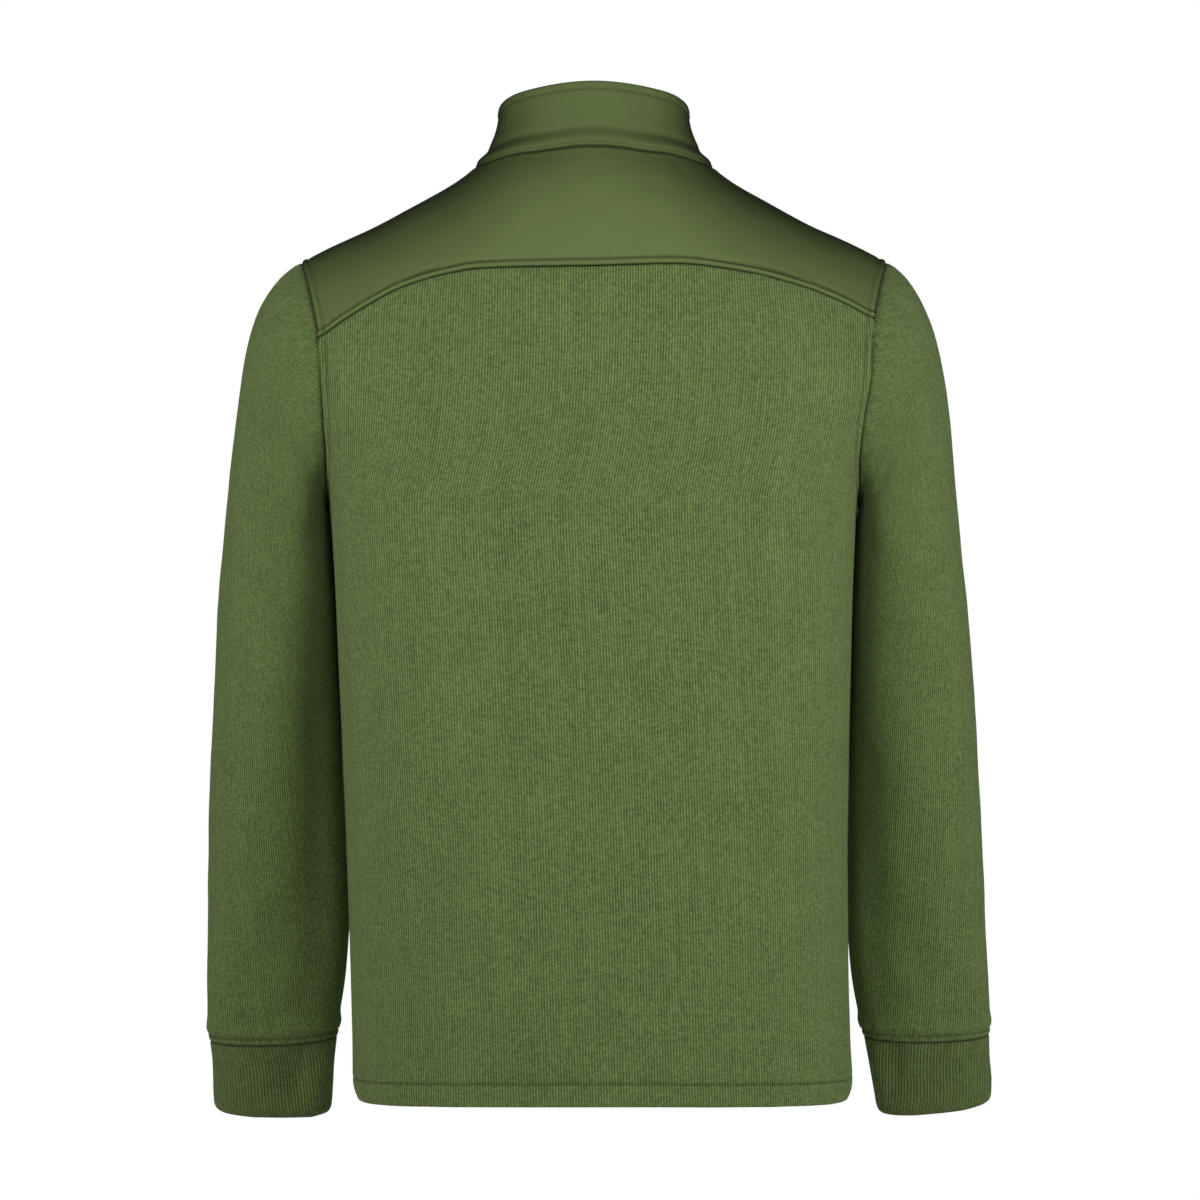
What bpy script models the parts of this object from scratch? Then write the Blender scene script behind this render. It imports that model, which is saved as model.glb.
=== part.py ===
"""A knitted sweatshirt with a stand collar, a shoulder yoke and a quarter zip, filled out as when worn.

Lengths are written in millimetres and made metres where the meshes are made. +Z is up, the front
faces -Y and the wearer's left is +X. The origin is the middle of the neck, level with the points
where the shoulders meet the collar.
"""

import bisect
import math

import bmesh
import bpy
from mathutils import Vector

MM = 0.001
BACK = 1
FRONT = -1
LEFT = 1
RIGHT = -1

SEAM_GAP = 0.5
KNIT_THICKNESS = 2.0
YOKE_THICKNESS = 2.2
COLLAR_THICKNESS = 2.6
CUFF_THICKNESS = 2.6
HEM_THICKNESS = 3.4
HEM_HEIGHT = 16.5

# The neck opening and the shoulder line
NECK_HALF_WIDTH = 89.0
NECK_BACK = 75.0
NECK_FRONT = 93.0
SHOULDER_POINT_HEIGHT = -71.0
UNDERARM_HEIGHT = -250.0
ARMHOLE_MIDDLE = (SHOULDER_POINT_HEIGHT + UNDERARM_HEIGHT) / 2
ARMHOLE_RADIUS = (SHOULDER_POINT_HEIGHT - UNDERARM_HEIGHT) / 2
YOKE_FRONT_REACH = 42.0
HEM_LEVEL = -690.0
HEM_SIDE_DROP = 6.0

# The collar's top edge: half width, and how far back and forward it reaches
COLLAR_HALF_WIDTH = 71.5
COLLAR_BACK = 65.0
COLLAR_FRONT = 88.0
COLLAR_FLARE = 1.35

# The zip
SLIT_HALF_WIDTH = 2.9
CHAIN_HALF_WIDTH = 2.3
CHAIN_PROUD = 0.4
CHAIN_DEPTH = 2.2
ZIP_END_GAP = 1.5
ZIP_SEAM_STEP = 1.0
TAPE_INNER_EDGE = 0.5
TAPE_OUTER_EDGE = 11.0
TAPE_BEHIND = 3.0
TAPE_THICKNESS = 1.0
SLIDER_PLACE = 0.86
SLIDER_WIDTH = 8.4
SLIDER_HEIGHT = 10.0
SLIDER_THICKNESS = 1.6
SLIDER_CLEARANCE = 0.5
LUG_THICKNESS = 1.0
LUG_HALF_HEIGHT = 1.5
BAR_RADIUS = 0.6
PIVOT_PROUD = 5.0
PULL_WIDTH = 4.6
PULL_LENGTH = 23.0
PULL_THICKNESS = 1.5
PULL_EYE_RADIUS = 1.7
PULL_HOLE_RADIUS = 0.95

# How many facets each stretch has
BACK_COLUMNS = 22
LOWER_ROWS = 9
UPPER_ROWS = 7
YOKE_ROWS = 6
YOKE_BACK_ARM_STEPS = 3
YOKE_FRONT_ARM_STEPS = 2
NECK_FRONT_STEPS = 6
COLLAR_ROWS = 5


def smooth_curve(keys, values):
    """A curve through the values that never swings past them."""
    spans = [after - before for before, after in zip(keys, keys[1:])]
    rises = [(after - before) / span for before, after, span in zip(values, values[1:], spans)]
    slopes = [rises[0]]
    for before, after in zip(rises, rises[1:]):
        slopes.append(0.0 if before * after <= 0 else 2 * before * after / (before + after))
    slopes.append(rises[-1])

    def curve(key):
        place = min(max(bisect.bisect_right(keys, key) - 1, 0), len(spans) - 1)
        t = min(max((key - keys[place]) / spans[place], 0.0), 1.0)
        start = values[place] + t * spans[place] * slopes[place] * (1 - t) ** 2
        end_pull = spans[place] * slopes[place + 1] * (t - 1) * t * t
        rise = (values[place + 1] - values[place]) * t * t * (3 - 2 * t)
        return start + rise + end_pull

    return curve


def table(columns, *rows):
    """A smooth curve for each named column, over the first column."""
    names = columns.split()
    keys = [row[0] for row in rows]
    return {name: smooth_curve(keys, [row[place] for row in rows]) for place, name in enumerate(names)}


# Level sections through the body. Above the underarm the ring is wider than the cloth, which ends
# at the armhole.
TORSO = table(
    "height half_width back_depth front_depth squareness lean",
    (-700, 186.7, 139, 142, 2.60, -6.8),
    (-650, 186.3, 139, 142, 2.60, -5.4),
    (-600, 186.3, 139, 142, 2.60, -4.0),
    (-500, 187.5, 137, 141, 2.70, -2.3),
    (-400, 190.5, 134, 139, 2.85, -0.8),
    (-325, 192.8, 132, 137, 3.05, -0.2),
    (-250, 197.3, 130, 134, 3.20, 0.5),
    (-235, 199.5, 129, 133, 3.10, 0.5),
    (-215, 208.0, 128, 131, 2.85, 0.4),
    (-190, 224.0, 128, 129, 2.60, 0.0),
    (-160, 239.0, 128, 126, 2.40, 0.0),
    (-120, 247.0, 128, 120, 2.30, 0.0),
    (-75, 250.0, 128, 112, 2.25, 0.0),
    (60, 250.0, 128, 112, 2.25, 0.0),
)

# The shoulder line, which is level where it would cross the middle of the neck
SHOULDER = table(
    "across height",
    (-50, 26.0),
    (0, 42.0),
    (50, 26.0),
    (89, -0.5),
    (104, -11.5),
    (125, -23.5),
    (160, -42.5),
    (195, -58.5),
    (219, -71.0),
)

# The armhole seam, as its distance from the middle on each side
ARMHOLE = table(
    "height left right",
    (-250, 197.8, 196.8),
    (-220, 197.5, 195.5),
    (-190, 199.0, 198.5),
    (-160, 200.5, 203.5),
    (-130, 203.0, 205.0),
    (-95, 211.0, 211.5),
    (-71, 219.0, 219.0),
)

# The seam between the yoke and the back, from the right armhole to the left one
YOKE_SEAM = table(
    "across height",
    (-206, -116.5),
    (-180, -104.0),
    (-150, -93.0),
    (-106, -83.5),
    (-62, -79.5),
    (0, -81.5),
    (83, -82.5),
    (112, -87.0),
    (141, -95.5),
    (171, -111.0),
    (203, -132.0),
)
RIGHT_CORNER = -206.0
LEFT_CORNER = 203.0

# The height of the collar's top edge, by the angle from the middle of the back
COLLAR_EDGE = table(
    "degrees height",
    (-45, 53.6),
    (0, 58.7),
    (45, 53.6),
    (75, 47.0),
    (90, 42.0),
    (120, 24.0),
    (150, 3.0),
    (180, -9.0),
)

# How deep the cloth rounds over from the shoulder line, by distance from the middle
ROUNDING = table(
    "across back front",
    (0, 169, 250),
    (90, 145, 200),
    (219, 110, 130),
)

# Rings down the sleeve, level or tilted: the end of the ring on the outer side and the one on the
# body's side, how far back its middle lies, half its depth, how much lower its back is, and how much
# the right arm's outer end is lifted
SLEEVE = table(
    "ring outer_height left_outer right_outer inner_height left_inner right_inner middle depth drop lift",
    (0, -71, 219.0, 219.0, -250, 197.8, 196.8, 0, 80, 0, 0),
    (1, -80, 232.0, 231.5, -256, 200.0, 199.5, -1, 80, 0, 0),
    (2, -94, 244.0, 242.0, -263, 198.6, 198.6, -3, 80, 0, 0),
    (3, -114, 254.0, 251.5, -273, 197.5, 197.7, -5, 79, 0, 0),
    (4, -141, 261.8, 259.8, -288, 196.5, 196.6, -8, 77, 0, 0),
    (5, -176, 267.5, 266.0, -308, 195.0, 195.3, -12, 74, 0, 0),
    (6, -222, 273.2, 270.5, -335, 193.1, 193.7, -17, 71, 0, 0),
    (7, -278, 279.3, 276.2, -370, 191.9, 192.9, -23, 67, 0, 0),
    (8, -340, 284.7, 283.0, -410, 190.4, 192.4, -29, 62, 0, 0),
    (9, -405, 288.0, 288.6, -455, 188.9, 192.2, -36, 56, 0, 0),
    (10, -470, 291.5, 292.3, -505, 187.0, 191.7, -42, 50, 0, 0),
    (11, -535, 293.3, 296.0, -555, 185.8, 192.0, -47, 43, 1, 0),
    (12, -592, 294.0, 298.5, -603, 188.6, 195.2, -51, 36, 2, 2),
    (13, -638, 294.5, 301.0, -641, 193.4, 201.0, -54, 30, 3, 4),
    (14, -659, 292.5, 300.7, -661, 195.8, 205.5, -55, 27, 4, 5),
)
CUFF = table(
    "ring outer_height left_outer right_outer inner_height left_inner right_inner middle depth drop lift",
    (0, -659, 292.5, 300.7, -661, 195.8, 205.5, -55, 27, 4, 5),
    (1, -677, 290.5, 301.5, -679, 198.0, 209.3, -56, 24, 4, 5),
    (2, -696, 290.1, 303.0, -698, 199.2, 213.1, -57, 22, 4, 6),
    (3, -712, 289.0, 302.5, -714, 200.3, 216.0, -58, 21, 4, 6),
)
SLEEVE_RINGS = 14
RING_STEP = 42.0
RING_RADIUS = 60.0
CUFF_RINGS = 3
CAP_RINGS = 4.0
RING_SQUARENESS = 2.15

# The largest soft folds of the body: troughs have a positive depth, ridges a negative one
BODY_FOLDS = (
    # side, from across, from height, to across, to height, half width, depth
    (BACK, 46, -265, 78, -445, 26, 2.5),
    (BACK, 78, -445, 138, -575, 24, 3.5),
    (BACK, 138, -575, 152, -640, 22, 3.5),
    (BACK, -118, -200, -108, -330, 26, 2.5),
    (BACK, -108, -330, -136, -430, 24, 2.5),
    (BACK, 0, -430, 2, -560, 26, 2.0),
    (BACK, 40, -590, 44, -680, 26, -2.5),
    (BACK, -84, -590, -88, -680, 26, -2.5),
    (FRONT, -60, -300, -96, -520, 30, 3.5),
    (FRONT, 70, -290, 118, -560, 28, 3.5),
    (FRONT, 20, -520, 12, -670, 28, -2.5),
    (FRONT, 130, -170, 96, -270, 24, 2.5),
    (FRONT, -132, -175, -100, -280, 24, 2.5),
)

# The folds of the sleeves: angles are turned from the outer side towards the back
SLEEVE_FOLDS = (
    # side, from angle, from ring, to angle, to ring, half width, depth
    (LEFT, 130, 1.5, 80, 5.0, 16, 3.0),
    (RIGHT, 130, 1.5, 85, 5.5, 16, 3.0),
    (LEFT, 95, 6.5, 50, 9.0, 18, 2.5),
    (RIGHT, 105, 7.0, 60, 9.5, 18, 2.5),
    (LEFT, 250, 4.5, 290, 8.5, 18, 3.0),
    (RIGHT, 255, 5.0, 300, 9.0, 18, 3.0),
    (LEFT, 110, 11.0, 60, 12.8, 14, 2.0),
    (RIGHT, 115, 11.0, 70, 12.8, 14, 2.0),
)


def fold_depth(distance, along, half_width, depth):
    """How deep one fold is at a distance from its line and a fraction of its length."""
    reach = math.sin(math.pi * min(max(0.08 + 0.84 * along, 0.0), 1.0))
    return depth * reach * math.exp(-(distance / half_width) ** 2)


def along_line(point, start, end):
    """The distance from a point to a line in the flat, and how far along the line it lies."""
    across = (end[0] - start[0], end[1] - start[1])
    away = (point[0] - start[0], point[1] - start[1])
    length = across[0] ** 2 + across[1] ** 2
    along = min(max((away[0] * across[0] + away[1] * across[1]) / length, 0.0), 1.0)
    return math.hypot(away[0] - along * across[0], away[1] - along * across[1]), along


def side_name(side):
    return "back" if side == BACK else "front"


def shoulder_height(across):
    return SHOULDER["height"](abs(across))


def rounding(across, side):
    return ROUNDING[side_name(side)](abs(across))


def body_depth(across, height, side):
    """How far the cloth lies behind or in front of the shoulder line."""
    half_width = TORSO["half_width"](height)
    squareness = TORSO["squareness"](height)
    ratio = min(abs(across - TORSO["lean"](height)) / half_width, 1.0)
    depth = TORSO[side_name(side) + "_depth"](height) * (1 - ratio ** squareness) ** (1 / squareness)
    reach = rounding(across, side)
    rise = min(max((height - shoulder_height(across) + reach) / reach, 0.0), 1.0)
    return depth * math.sqrt(1 - rise * rise)


def body_outward(across, height, side):
    """The direction that the cloth faces."""
    step = 0.5
    wider = body_depth(across + step, height, side) ** 2 - body_depth(across - step, height, side) ** 2
    higher = body_depth(across, height + step, side) ** 2 - body_depth(across, height - step, side) ** 2
    depth = body_depth(across, height, side)
    return Vector((-wider / (2 * step), 2 * side * depth, -higher / (2 * step))).normalized()


def body_fold(across, height, side):
    total = 0.0
    for fold_side, start_x, start_z, end_x, end_z, half_width, depth in BODY_FOLDS:
        if fold_side == side:
            distance, along = along_line((across, height), (start_x, start_z), (end_x, end_z))
            total += fold_depth(distance, along, half_width, depth)
    return total


def body_point(across, height, side, inward=0.0):
    """A point of the body's cloth, or one that lies deeper by the given length."""
    base = Vector((across, side * body_depth(across, height, side), height))
    return base - body_outward(across, height, side) * (body_fold(across, height, side) + inward)


def climb(across, height, side):
    """Height measured along the cloth's own curve, so that even steps round the shoulder."""
    reach = rounding(across, side)
    start = shoulder_height(across) - reach
    if height <= start:
        return height
    return start + reach * math.asin(min((height - start) / reach, 1.0))


def height_of_climb(across, climbed, side):
    reach = rounding(across, side)
    start = shoulder_height(across) - reach
    if climbed <= start:
        return climbed
    return start + reach * math.sin(min((climbed - start) / reach, math.pi / 2))


def turn_at(across, height, side):
    """The angle round the shoulder: 0 low on the back, a right angle on the shoulder line."""
    reach = rounding(across, side)
    rise = min(max((height - shoulder_height(across) + reach) / reach, 0.0), 1.0)
    return math.asin(rise) if side == BACK else math.pi - math.asin(rise)


def place_of_turn(across, turn):
    """The height and the side that belong to an angle round the shoulder."""
    side = BACK if turn <= math.pi / 2 else FRONT
    reach = rounding(across, side)
    return shoulder_height(across) - reach + reach * math.sin(turn), side


def height_at_depth(across, depth, side):
    """The height at which the cloth lies this far behind or in front of the shoulder line."""
    high = shoulder_height(across)
    low = high - rounding(across, side)
    for _ in range(40):
        middle = (low + high) / 2
        if body_depth(across, middle, side) > depth:
            low = middle
        else:
            high = middle
    return (low + high) / 2


def neck_place(turn):
    """The neck seam at an angle from the middle of the back: across, height and side."""
    side = BACK if math.cos(turn) >= 0 else FRONT
    reach = NECK_BACK if side == BACK else NECK_FRONT
    across = NECK_HALF_WIDTH * math.sin(turn)
    return across, height_at_depth(across, reach * abs(math.cos(turn)), side), side


def armhole_across(height, arm):
    return arm * ARMHOLE["left" if arm == LEFT else "right"](height)


def armhole_height(turn):
    return ARMHOLE_MIDDLE + ARMHOLE_RADIUS * math.cos(turn)


def armhole_turn(height):
    return math.acos((height - ARMHOLE_MIDDLE) / ARMHOLE_RADIUS)


def front_corner_height(arm):
    """Where the yoke's front edge meets the armhole."""
    low = ARMHOLE_MIDDLE
    high = SHOULDER_POINT_HEIGHT
    for _ in range(40):
        middle = (low + high) / 2
        if body_depth(armhole_across(middle, arm), middle, FRONT) > YOKE_FRONT_REACH:
            low = middle
        else:
            high = middle
    return (low + high) / 2


def back_corner_height(arm):
    return YOKE_SEAM["height"](LEFT_CORNER if arm == LEFT else RIGHT_CORNER)


def fractions(count):
    return [step / count for step in range(count + 1)]


def between(start, end, count):
    return [start + (end - start) * part for part in fractions(count)]


def armhole_turns(arm):
    """The angles round the armhole that every piece sewn to it shares, from the shoulder point
    down the back to the underarm and up the front."""
    back_corner = armhole_turn(back_corner_height(arm))
    front_corner = 2 * math.pi - armhole_turn(front_corner_height(arm))
    yoke_back = between(0.0, back_corner, YOKE_BACK_ARM_STEPS)
    panel_back = between(back_corner, math.pi, UPPER_ROWS)
    panel_front = between(math.pi, front_corner, UPPER_ROWS)
    yoke_front = between(front_corner, 2 * math.pi, YOKE_FRONT_ARM_STEPS)
    return yoke_back + panel_back[1:] + panel_front[1:] + yoke_front[1:-1]


def armhole_place(turn, arm):
    height = armhole_height(turn)
    side = BACK if turn <= math.pi else FRONT
    return armhole_across(height, arm), height, side


def ring_angle(across, height):
    """The angle round the level ring that a point lies at."""
    ratio = min(abs(across) / TORSO["half_width"](height), 1.0)
    return math.asin(ratio ** (TORSO["squareness"](height) / 2))


def across_of_share(share, height):
    """How far across a share of the way round to the armhole or the side seam lies."""
    arm = LEFT if share > 0 else RIGHT
    half_width = TORSO["half_width"](height)
    if height <= UNDERARM_HEIGHT:
        widest = math.pi / 2
    else:
        widest = ring_angle(armhole_across(height, arm), height)
    sine = math.sin(abs(share) * widest)
    lean = TORSO["lean"](height) if height <= UNDERARM_HEIGHT else 0.0
    return arm * half_width * sine ** (2 / TORSO["squareness"](height)) + lean


def share_of_across(across, height):
    arm = LEFT if across > 0 else RIGHT
    return arm * ring_angle(across, height) / ring_angle(armhole_across(height, arm), height)


def seam_place(share):
    """A point of the seam between the back and the yoke."""
    height = YOKE_SEAM["height"](0.0)
    for _ in range(12):
        across = across_of_share(share, height)
        height = YOKE_SEAM["height"](across)
    if abs(share) == 1.0:
        across = LEFT_CORNER if share > 0 else RIGHT_CORNER
        height = YOKE_SEAM["height"](across)
        across = armhole_across(height, LEFT if share > 0 else RIGHT)
    return across, height, BACK


def yoke_places():
    """The yoke's grid: each line runs from the neck seam to the outer edge, and the lines go from
    its left front edge over the left shoulder, the back and the right shoulder."""
    front_turn = math.pi - math.acos(YOKE_FRONT_REACH / NECK_FRONT)
    corner_turn = math.radians(60)
    outer = []
    inner = []
    for arm in (LEFT, RIGHT):
        turns = armhole_turns(arm)
        steps = turns[-(YOKE_FRONT_ARM_STEPS - 1):] if YOKE_FRONT_ARM_STEPS > 1 else []
        corner = 2 * math.pi - armhole_turn(front_corner_height(arm))
        arm_outer = [armhole_place(turn, arm) for turn in [corner] + steps]
        arm_outer += [armhole_place(turn, arm) for turn in turns[:YOKE_BACK_ARM_STEPS + 1]]
        arm_inner = [arm * turn for turn in between(front_turn, corner_turn, len(arm_outer) - 1)]
        if arm == RIGHT:
            arm_outer.reverse()
            arm_inner.reverse()
            shares = [1 - 2 * part for part in fractions(BACK_COLUMNS)]
            outer += [seam_place(share) for share in shares[1:-1]]
            inner += [corner_turn * share for share in shares[1:-1]]
        outer += arm_outer
        inner += arm_inner
    lines = []
    for neck_turn, (outer_x, outer_z, outer_side) in zip(inner, outer):
        inner_x, inner_z, inner_side = neck_place(neck_turn)
        inner_angle = turn_at(inner_x, inner_z, inner_side)
        outer_angle = turn_at(outer_x, outer_z, outer_side)
        line = []
        for part in fractions(YOKE_ROWS):
            across = inner_x + (outer_x - inner_x) * part
            height, side = place_of_turn(across, inner_angle + (outer_angle - inner_angle) * part)
            line.append((across, height, side))
        lines.append(line)
    return lines, inner


def neck_front_turns(side_turn):
    """The angles of the neck seam from the yoke's front edge to the zip's slit."""
    slit_turn = math.pi - math.asin(SLIT_HALF_WIDTH / NECK_HALF_WIDTH)
    arm = 1 if side_turn > 0 else -1
    return [arm * turn for turn in between(abs(side_turn), slit_turn, NECK_FRONT_STEPS)]


def hem_height(share):
    return HEM_LEVEL - HEM_SIDE_DROP * math.sin(abs(share) * math.pi / 2) ** 2


def lower_place(share, part, side):
    """A point between the hem, at 0, and the level of the underarm, at 1."""
    height = hem_height(share) + (UNDERARM_HEIGHT - hem_height(share)) * part
    return across_of_share(share, height), height, side


def hem_parts():
    """The rows from the hem up: one at the top of the turned hem, then even ones."""
    hem_part = HEM_HEIGHT / (UNDERARM_HEIGHT - HEM_LEVEL)
    return [0.0] + between(hem_part, 1.0, LOWER_ROWS)


def panel_places(tops, side, edge_turns):
    """The grid of the front or the back, a list of rows from the hem up. The tops are the places
    along the panel's upper edge, and the edge turns are the armhole's angles on each side."""
    shares = [share_of_across(across, min(height, SHOULDER_POINT_HEIGHT)) for across, height, _ in tops]
    shares[0] = math.copysign(1.0, shares[0])
    shares[-1] = math.copysign(1.0, shares[-1])
    rows = [[lower_place(share, part, side) for share in shares] for part in hem_parts()]
    for step in range(1, UPPER_ROWS + 1):
        row = []
        for place, (top_x, top_z, _) in enumerate(tops):
            arm = LEFT if top_x > 0 else RIGHT
            turns = edge_turns[arm]
            edge_x, edge_z, _ = armhole_place(turns[step], arm)
            corner_x, corner_z, _ = armhole_place(turns[-1], arm)
            if place in (0, len(tops) - 1):
                row.append((edge_x, edge_z, side))
                continue
            low = climb(edge_x, UNDERARM_HEIGHT, side)
            part = (climb(edge_x, edge_z, side) - low) / (climb(corner_x, corner_z, side) - low)
            start = climb(top_x, UNDERARM_HEIGHT, side)
            height = height_of_climb(top_x, start + (climb(top_x, top_z, side) - start) * part, side)
            if step == UPPER_ROWS:
                row.append((top_x, top_z, side))
                continue
            level = min(height, SHOULDER_POINT_HEIGHT)
            across = across_of_share(shares[place], level)
            ease = max(part - 0.5, 0.0) * 2
            row.append((across + (top_x - across) * ease ** 2, height, side))
        rows.append(row)
    return rows


def pull_in(grid, rows=(True, True), columns=(True, True)):
    """Draw the grid's edges in by half the seam gap."""
    moved = [[point.copy() for point in row] for row in grid]
    last_row = len(grid) - 1
    last_column = len(grid[0]) - 1
    for row in range(len(grid)):
        for column in range(len(grid[0])):
            aims = []
            if row == 0 and rows[0]:
                aims.append((1, column))
            if row == last_row and rows[1]:
                aims.append((last_row - 1, column))
            if column == 0 and columns[0]:
                aims.append((row, 1))
            if column == last_column and columns[1]:
                aims.append((row, last_column - 1))
            for aim_row, aim_column in aims:
                way = grid[aim_row][aim_column] - grid[row][column]
                moved[row][column] += way.normalized() * (SEAM_GAP / 2)
    return moved


def cloth_wall(name, outer, inner, material, closed=False, holes=()):
    """A closed solid between an outer and an inner grid of points. Cells in holes are left open,
    and a closed grid joins its last column to its first."""
    mesh = bpy.data.meshes.new(name)
    shape = bmesh.new()
    outside = [[shape.verts.new(point * MM) for point in row] for row in outer]
    inside = [[shape.verts.new(point * MM) for point in row] for row in inner]
    columns = len(outer[0])
    edge_uses = {}
    for row in range(len(outer) - 1):
        for column in range(columns if closed else columns - 1):
            if (row, column) in holes:
                continue
            corners = [(row, column), (row, (column + 1) % columns),
                       (row + 1, (column + 1) % columns), (row + 1, column)]
            shape.faces.new([outside[r][c] for r, c in corners])
            shape.faces.new([inside[r][c] for r, c in reversed(corners)])
            for start, end in zip(corners, corners[1:] + corners[:1]):
                edge_uses.setdefault(frozenset((start, end)), []).append((start, end))
    for uses in edge_uses.values():
        if len(uses) == 1:
            (row_a, column_a), (row_b, column_b) = uses[0]
            shape.faces.new((outside[row_b][column_b], outside[row_a][column_a],
                             inside[row_a][column_a], inside[row_b][column_b]))
    loose = [vert for vert in shape.verts if not vert.link_faces]
    bmesh.ops.delete(shape, geom=loose, context="VERTS")
    bmesh.ops.recalc_face_normals(shape, faces=shape.faces)
    shape.to_mesh(mesh)
    shape.free()
    mesh.shade_smooth()
    mesh.set_sharp_from_angle(angle=math.radians(50))
    mesh.materials.append(material)
    piece = bpy.data.objects.new(name, mesh)
    bpy.context.scene.collection.objects.link(piece)
    return piece


def add_material(name, color, roughness, metallic=0.0):
    material = bpy.data.materials.new(name)
    material.use_nodes = True
    shader = material.node_tree.nodes["Principled BSDF"]
    shader.inputs["Base Color"].default_value = (*color, 1.0)
    shader.inputs["Roughness"].default_value = roughness
    shader.inputs["Metallic"].default_value = metallic
    material.diffuse_color = (*color, 1.0)
    return material


def body_grid(places, thickness):
    """The outer and inner points of a piece of the body, drawn in at its seams."""
    outer = [[body_point(*place) for place in row] for row in places]
    inner = []
    for row_number, row in enumerate(places):
        depth = HEM_THICKNESS if thickness == KNIT_THICKNESS and row_number < 2 else thickness
        inner.append([body_point(*place, inward=depth) for place in row])
    return outer, inner


def add_back(material):
    tops = [seam_place(1 - 2 * part) for part in fractions(BACK_COLUMNS)]
    turns = {arm: list(reversed(armhole_turns(arm)[YOKE_BACK_ARM_STEPS:][:UPPER_ROWS + 1]))
             for arm in (LEFT, RIGHT)}
    outer, inner = body_grid(panel_places(tops, BACK, turns), KNIT_THICKNESS)
    pulled = pull_in(outer, rows=(False, True))
    return cloth_wall("back", pulled, pull_in(inner, rows=(False, True)), material)


def add_front(material, yoke_lines, neck_turns):
    """The front, one panel with the slit for the zip down from the neck."""
    left_seam = [line for line in reversed(yoke_lines[0])]
    right_seam = list(yoke_lines[-1])
    left_neck = [neck_place(turn) for turn in neck_front_turns(neck_turns[0])]
    right_neck = [neck_place(turn) for turn in reversed(neck_front_turns(neck_turns[-1]))]
    tops = left_seam + left_neck[1:] + right_neck[:-1] + right_seam
    turns = {}
    for arm in (LEFT, RIGHT):
        start = YOKE_BACK_ARM_STEPS + UPPER_ROWS
        corner = 2 * math.pi - armhole_turn(front_corner_height(arm))
        turns[arm] = armhole_turns(arm)[start:start + UPPER_ROWS] + [corner]
    places = panel_places(tops, FRONT, turns)
    slit_column = YOKE_ROWS + NECK_FRONT_STEPS
    for row in places:
        for column, arm in ((slit_column, LEFT), (slit_column + 1, RIGHT)):
            row[column] = (arm * SLIT_HALF_WIDTH, row[column][1], FRONT)
    slit_rows = [row for row in range(len(places) - 1) if places[row][slit_column][1] >= UNDERARM_HEIGHT]
    holes = [(row, slit_column) for row in slit_rows]
    outer, inner = body_grid(places, KNIT_THICKNESS)
    pulled = pull_in(outer, rows=(False, True))
    return cloth_wall("front", pulled, pull_in(inner, rows=(False, True)), material, holes=holes)


def add_yoke(material, yoke_lines):
    outer, inner = body_grid(yoke_lines, YOKE_THICKNESS)
    return cloth_wall("yoke", pull_in(outer), pull_in(inner), material)


def sleeve_fold(ring, turn, arm):
    total = 0.0
    for fold_arm, start_turn, start_ring, end_turn, end_ring, half_width, depth in SLEEVE_FOLDS:
        if fold_arm == arm:
            point = (turn * RING_RADIUS, ring * RING_STEP)
            start = (math.radians(start_turn) * RING_RADIUS, start_ring * RING_STEP)
            end = (math.radians(end_turn) * RING_RADIUS, end_ring * RING_STEP)
            distance, along = along_line(point, start, end)
            total += fold_depth(distance, along, half_width, depth)
    return total


def ring_point(rings, ring, turn, arm):
    """A point of a sleeve's or a cuff's ring: the angle turns from the outer side to the back."""
    name = "left" if arm == LEFT else "right"
    outer_height = rings["outer_height"](ring) + (rings["lift"](ring) if arm == RIGHT else 0.0)
    outer = Vector((arm * rings[name + "_outer"](ring), rings["middle"](ring), outer_height))
    inner = Vector((arm * rings[name + "_inner"](ring), rings["middle"](ring), rings["inner_height"](ring)))
    middle = (outer + inner) / 2
    cosine = math.cos(turn)
    sine = math.sin(turn)
    power = 2 / RING_SQUARENESS
    long_part = math.copysign(abs(cosine) ** power, cosine)
    deep_part = math.copysign(abs(sine) ** power, sine)
    point = middle + (outer - inner) / 2 * long_part
    point.y += rings["depth"](ring) * deep_part
    point.z -= rings["drop"](ring) * sine
    return point


def sleeve_point(ring, turn, arm):
    """A point of the sleeve, which starts exactly at the armhole."""
    point = ring_point(SLEEVE, ring, turn, arm)
    if ring < CAP_RINGS:
        share = (1 - ring / CAP_RINGS) ** 2
        point += (body_point(*armhole_place(turn, arm)) - ring_point(SLEEVE, 0, turn, arm)) * share
    return point


def tube_outward(point_at, ring, turn, last_ring):
    step = 0.02
    low = max(ring - step, 0)
    high = min(ring + step, last_ring)
    down = point_at(high, turn) - point_at(low, turn)
    around = point_at(ring, turn + step) - point_at(ring, turn - step)
    return down.cross(around).normalized()


def add_tube(name, point_at, rings, turns, thickness, material, arm, fold_at=None, rim_way=None):
    """A tube of cloth through rings, with a seam gap at its ends."""
    outer = []
    inner = []
    for ring in rings:
        outer_row = []
        inner_row = []
        for turn in turns:
            outward = tube_outward(point_at, ring, turn, rings[-1]) * arm
            if rim_way and ring == rings[0]:
                outward = outward.lerp(rim_way(turn), (1 + math.cos(turn)) / 2).normalized()
            point = point_at(ring, turn)
            if fold_at:
                point = point - outward * fold_at(ring, turn)
            outer_row.append(point)
            inner_row.append(point - outward * thickness)
        outer.append(outer_row)
        inner.append(inner_row)
    no_columns = (False, False)
    outer = pull_in(outer, columns=no_columns)
    inner = pull_in(inner, columns=no_columns)
    return cloth_wall(name, outer, inner, material, closed=True)


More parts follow.
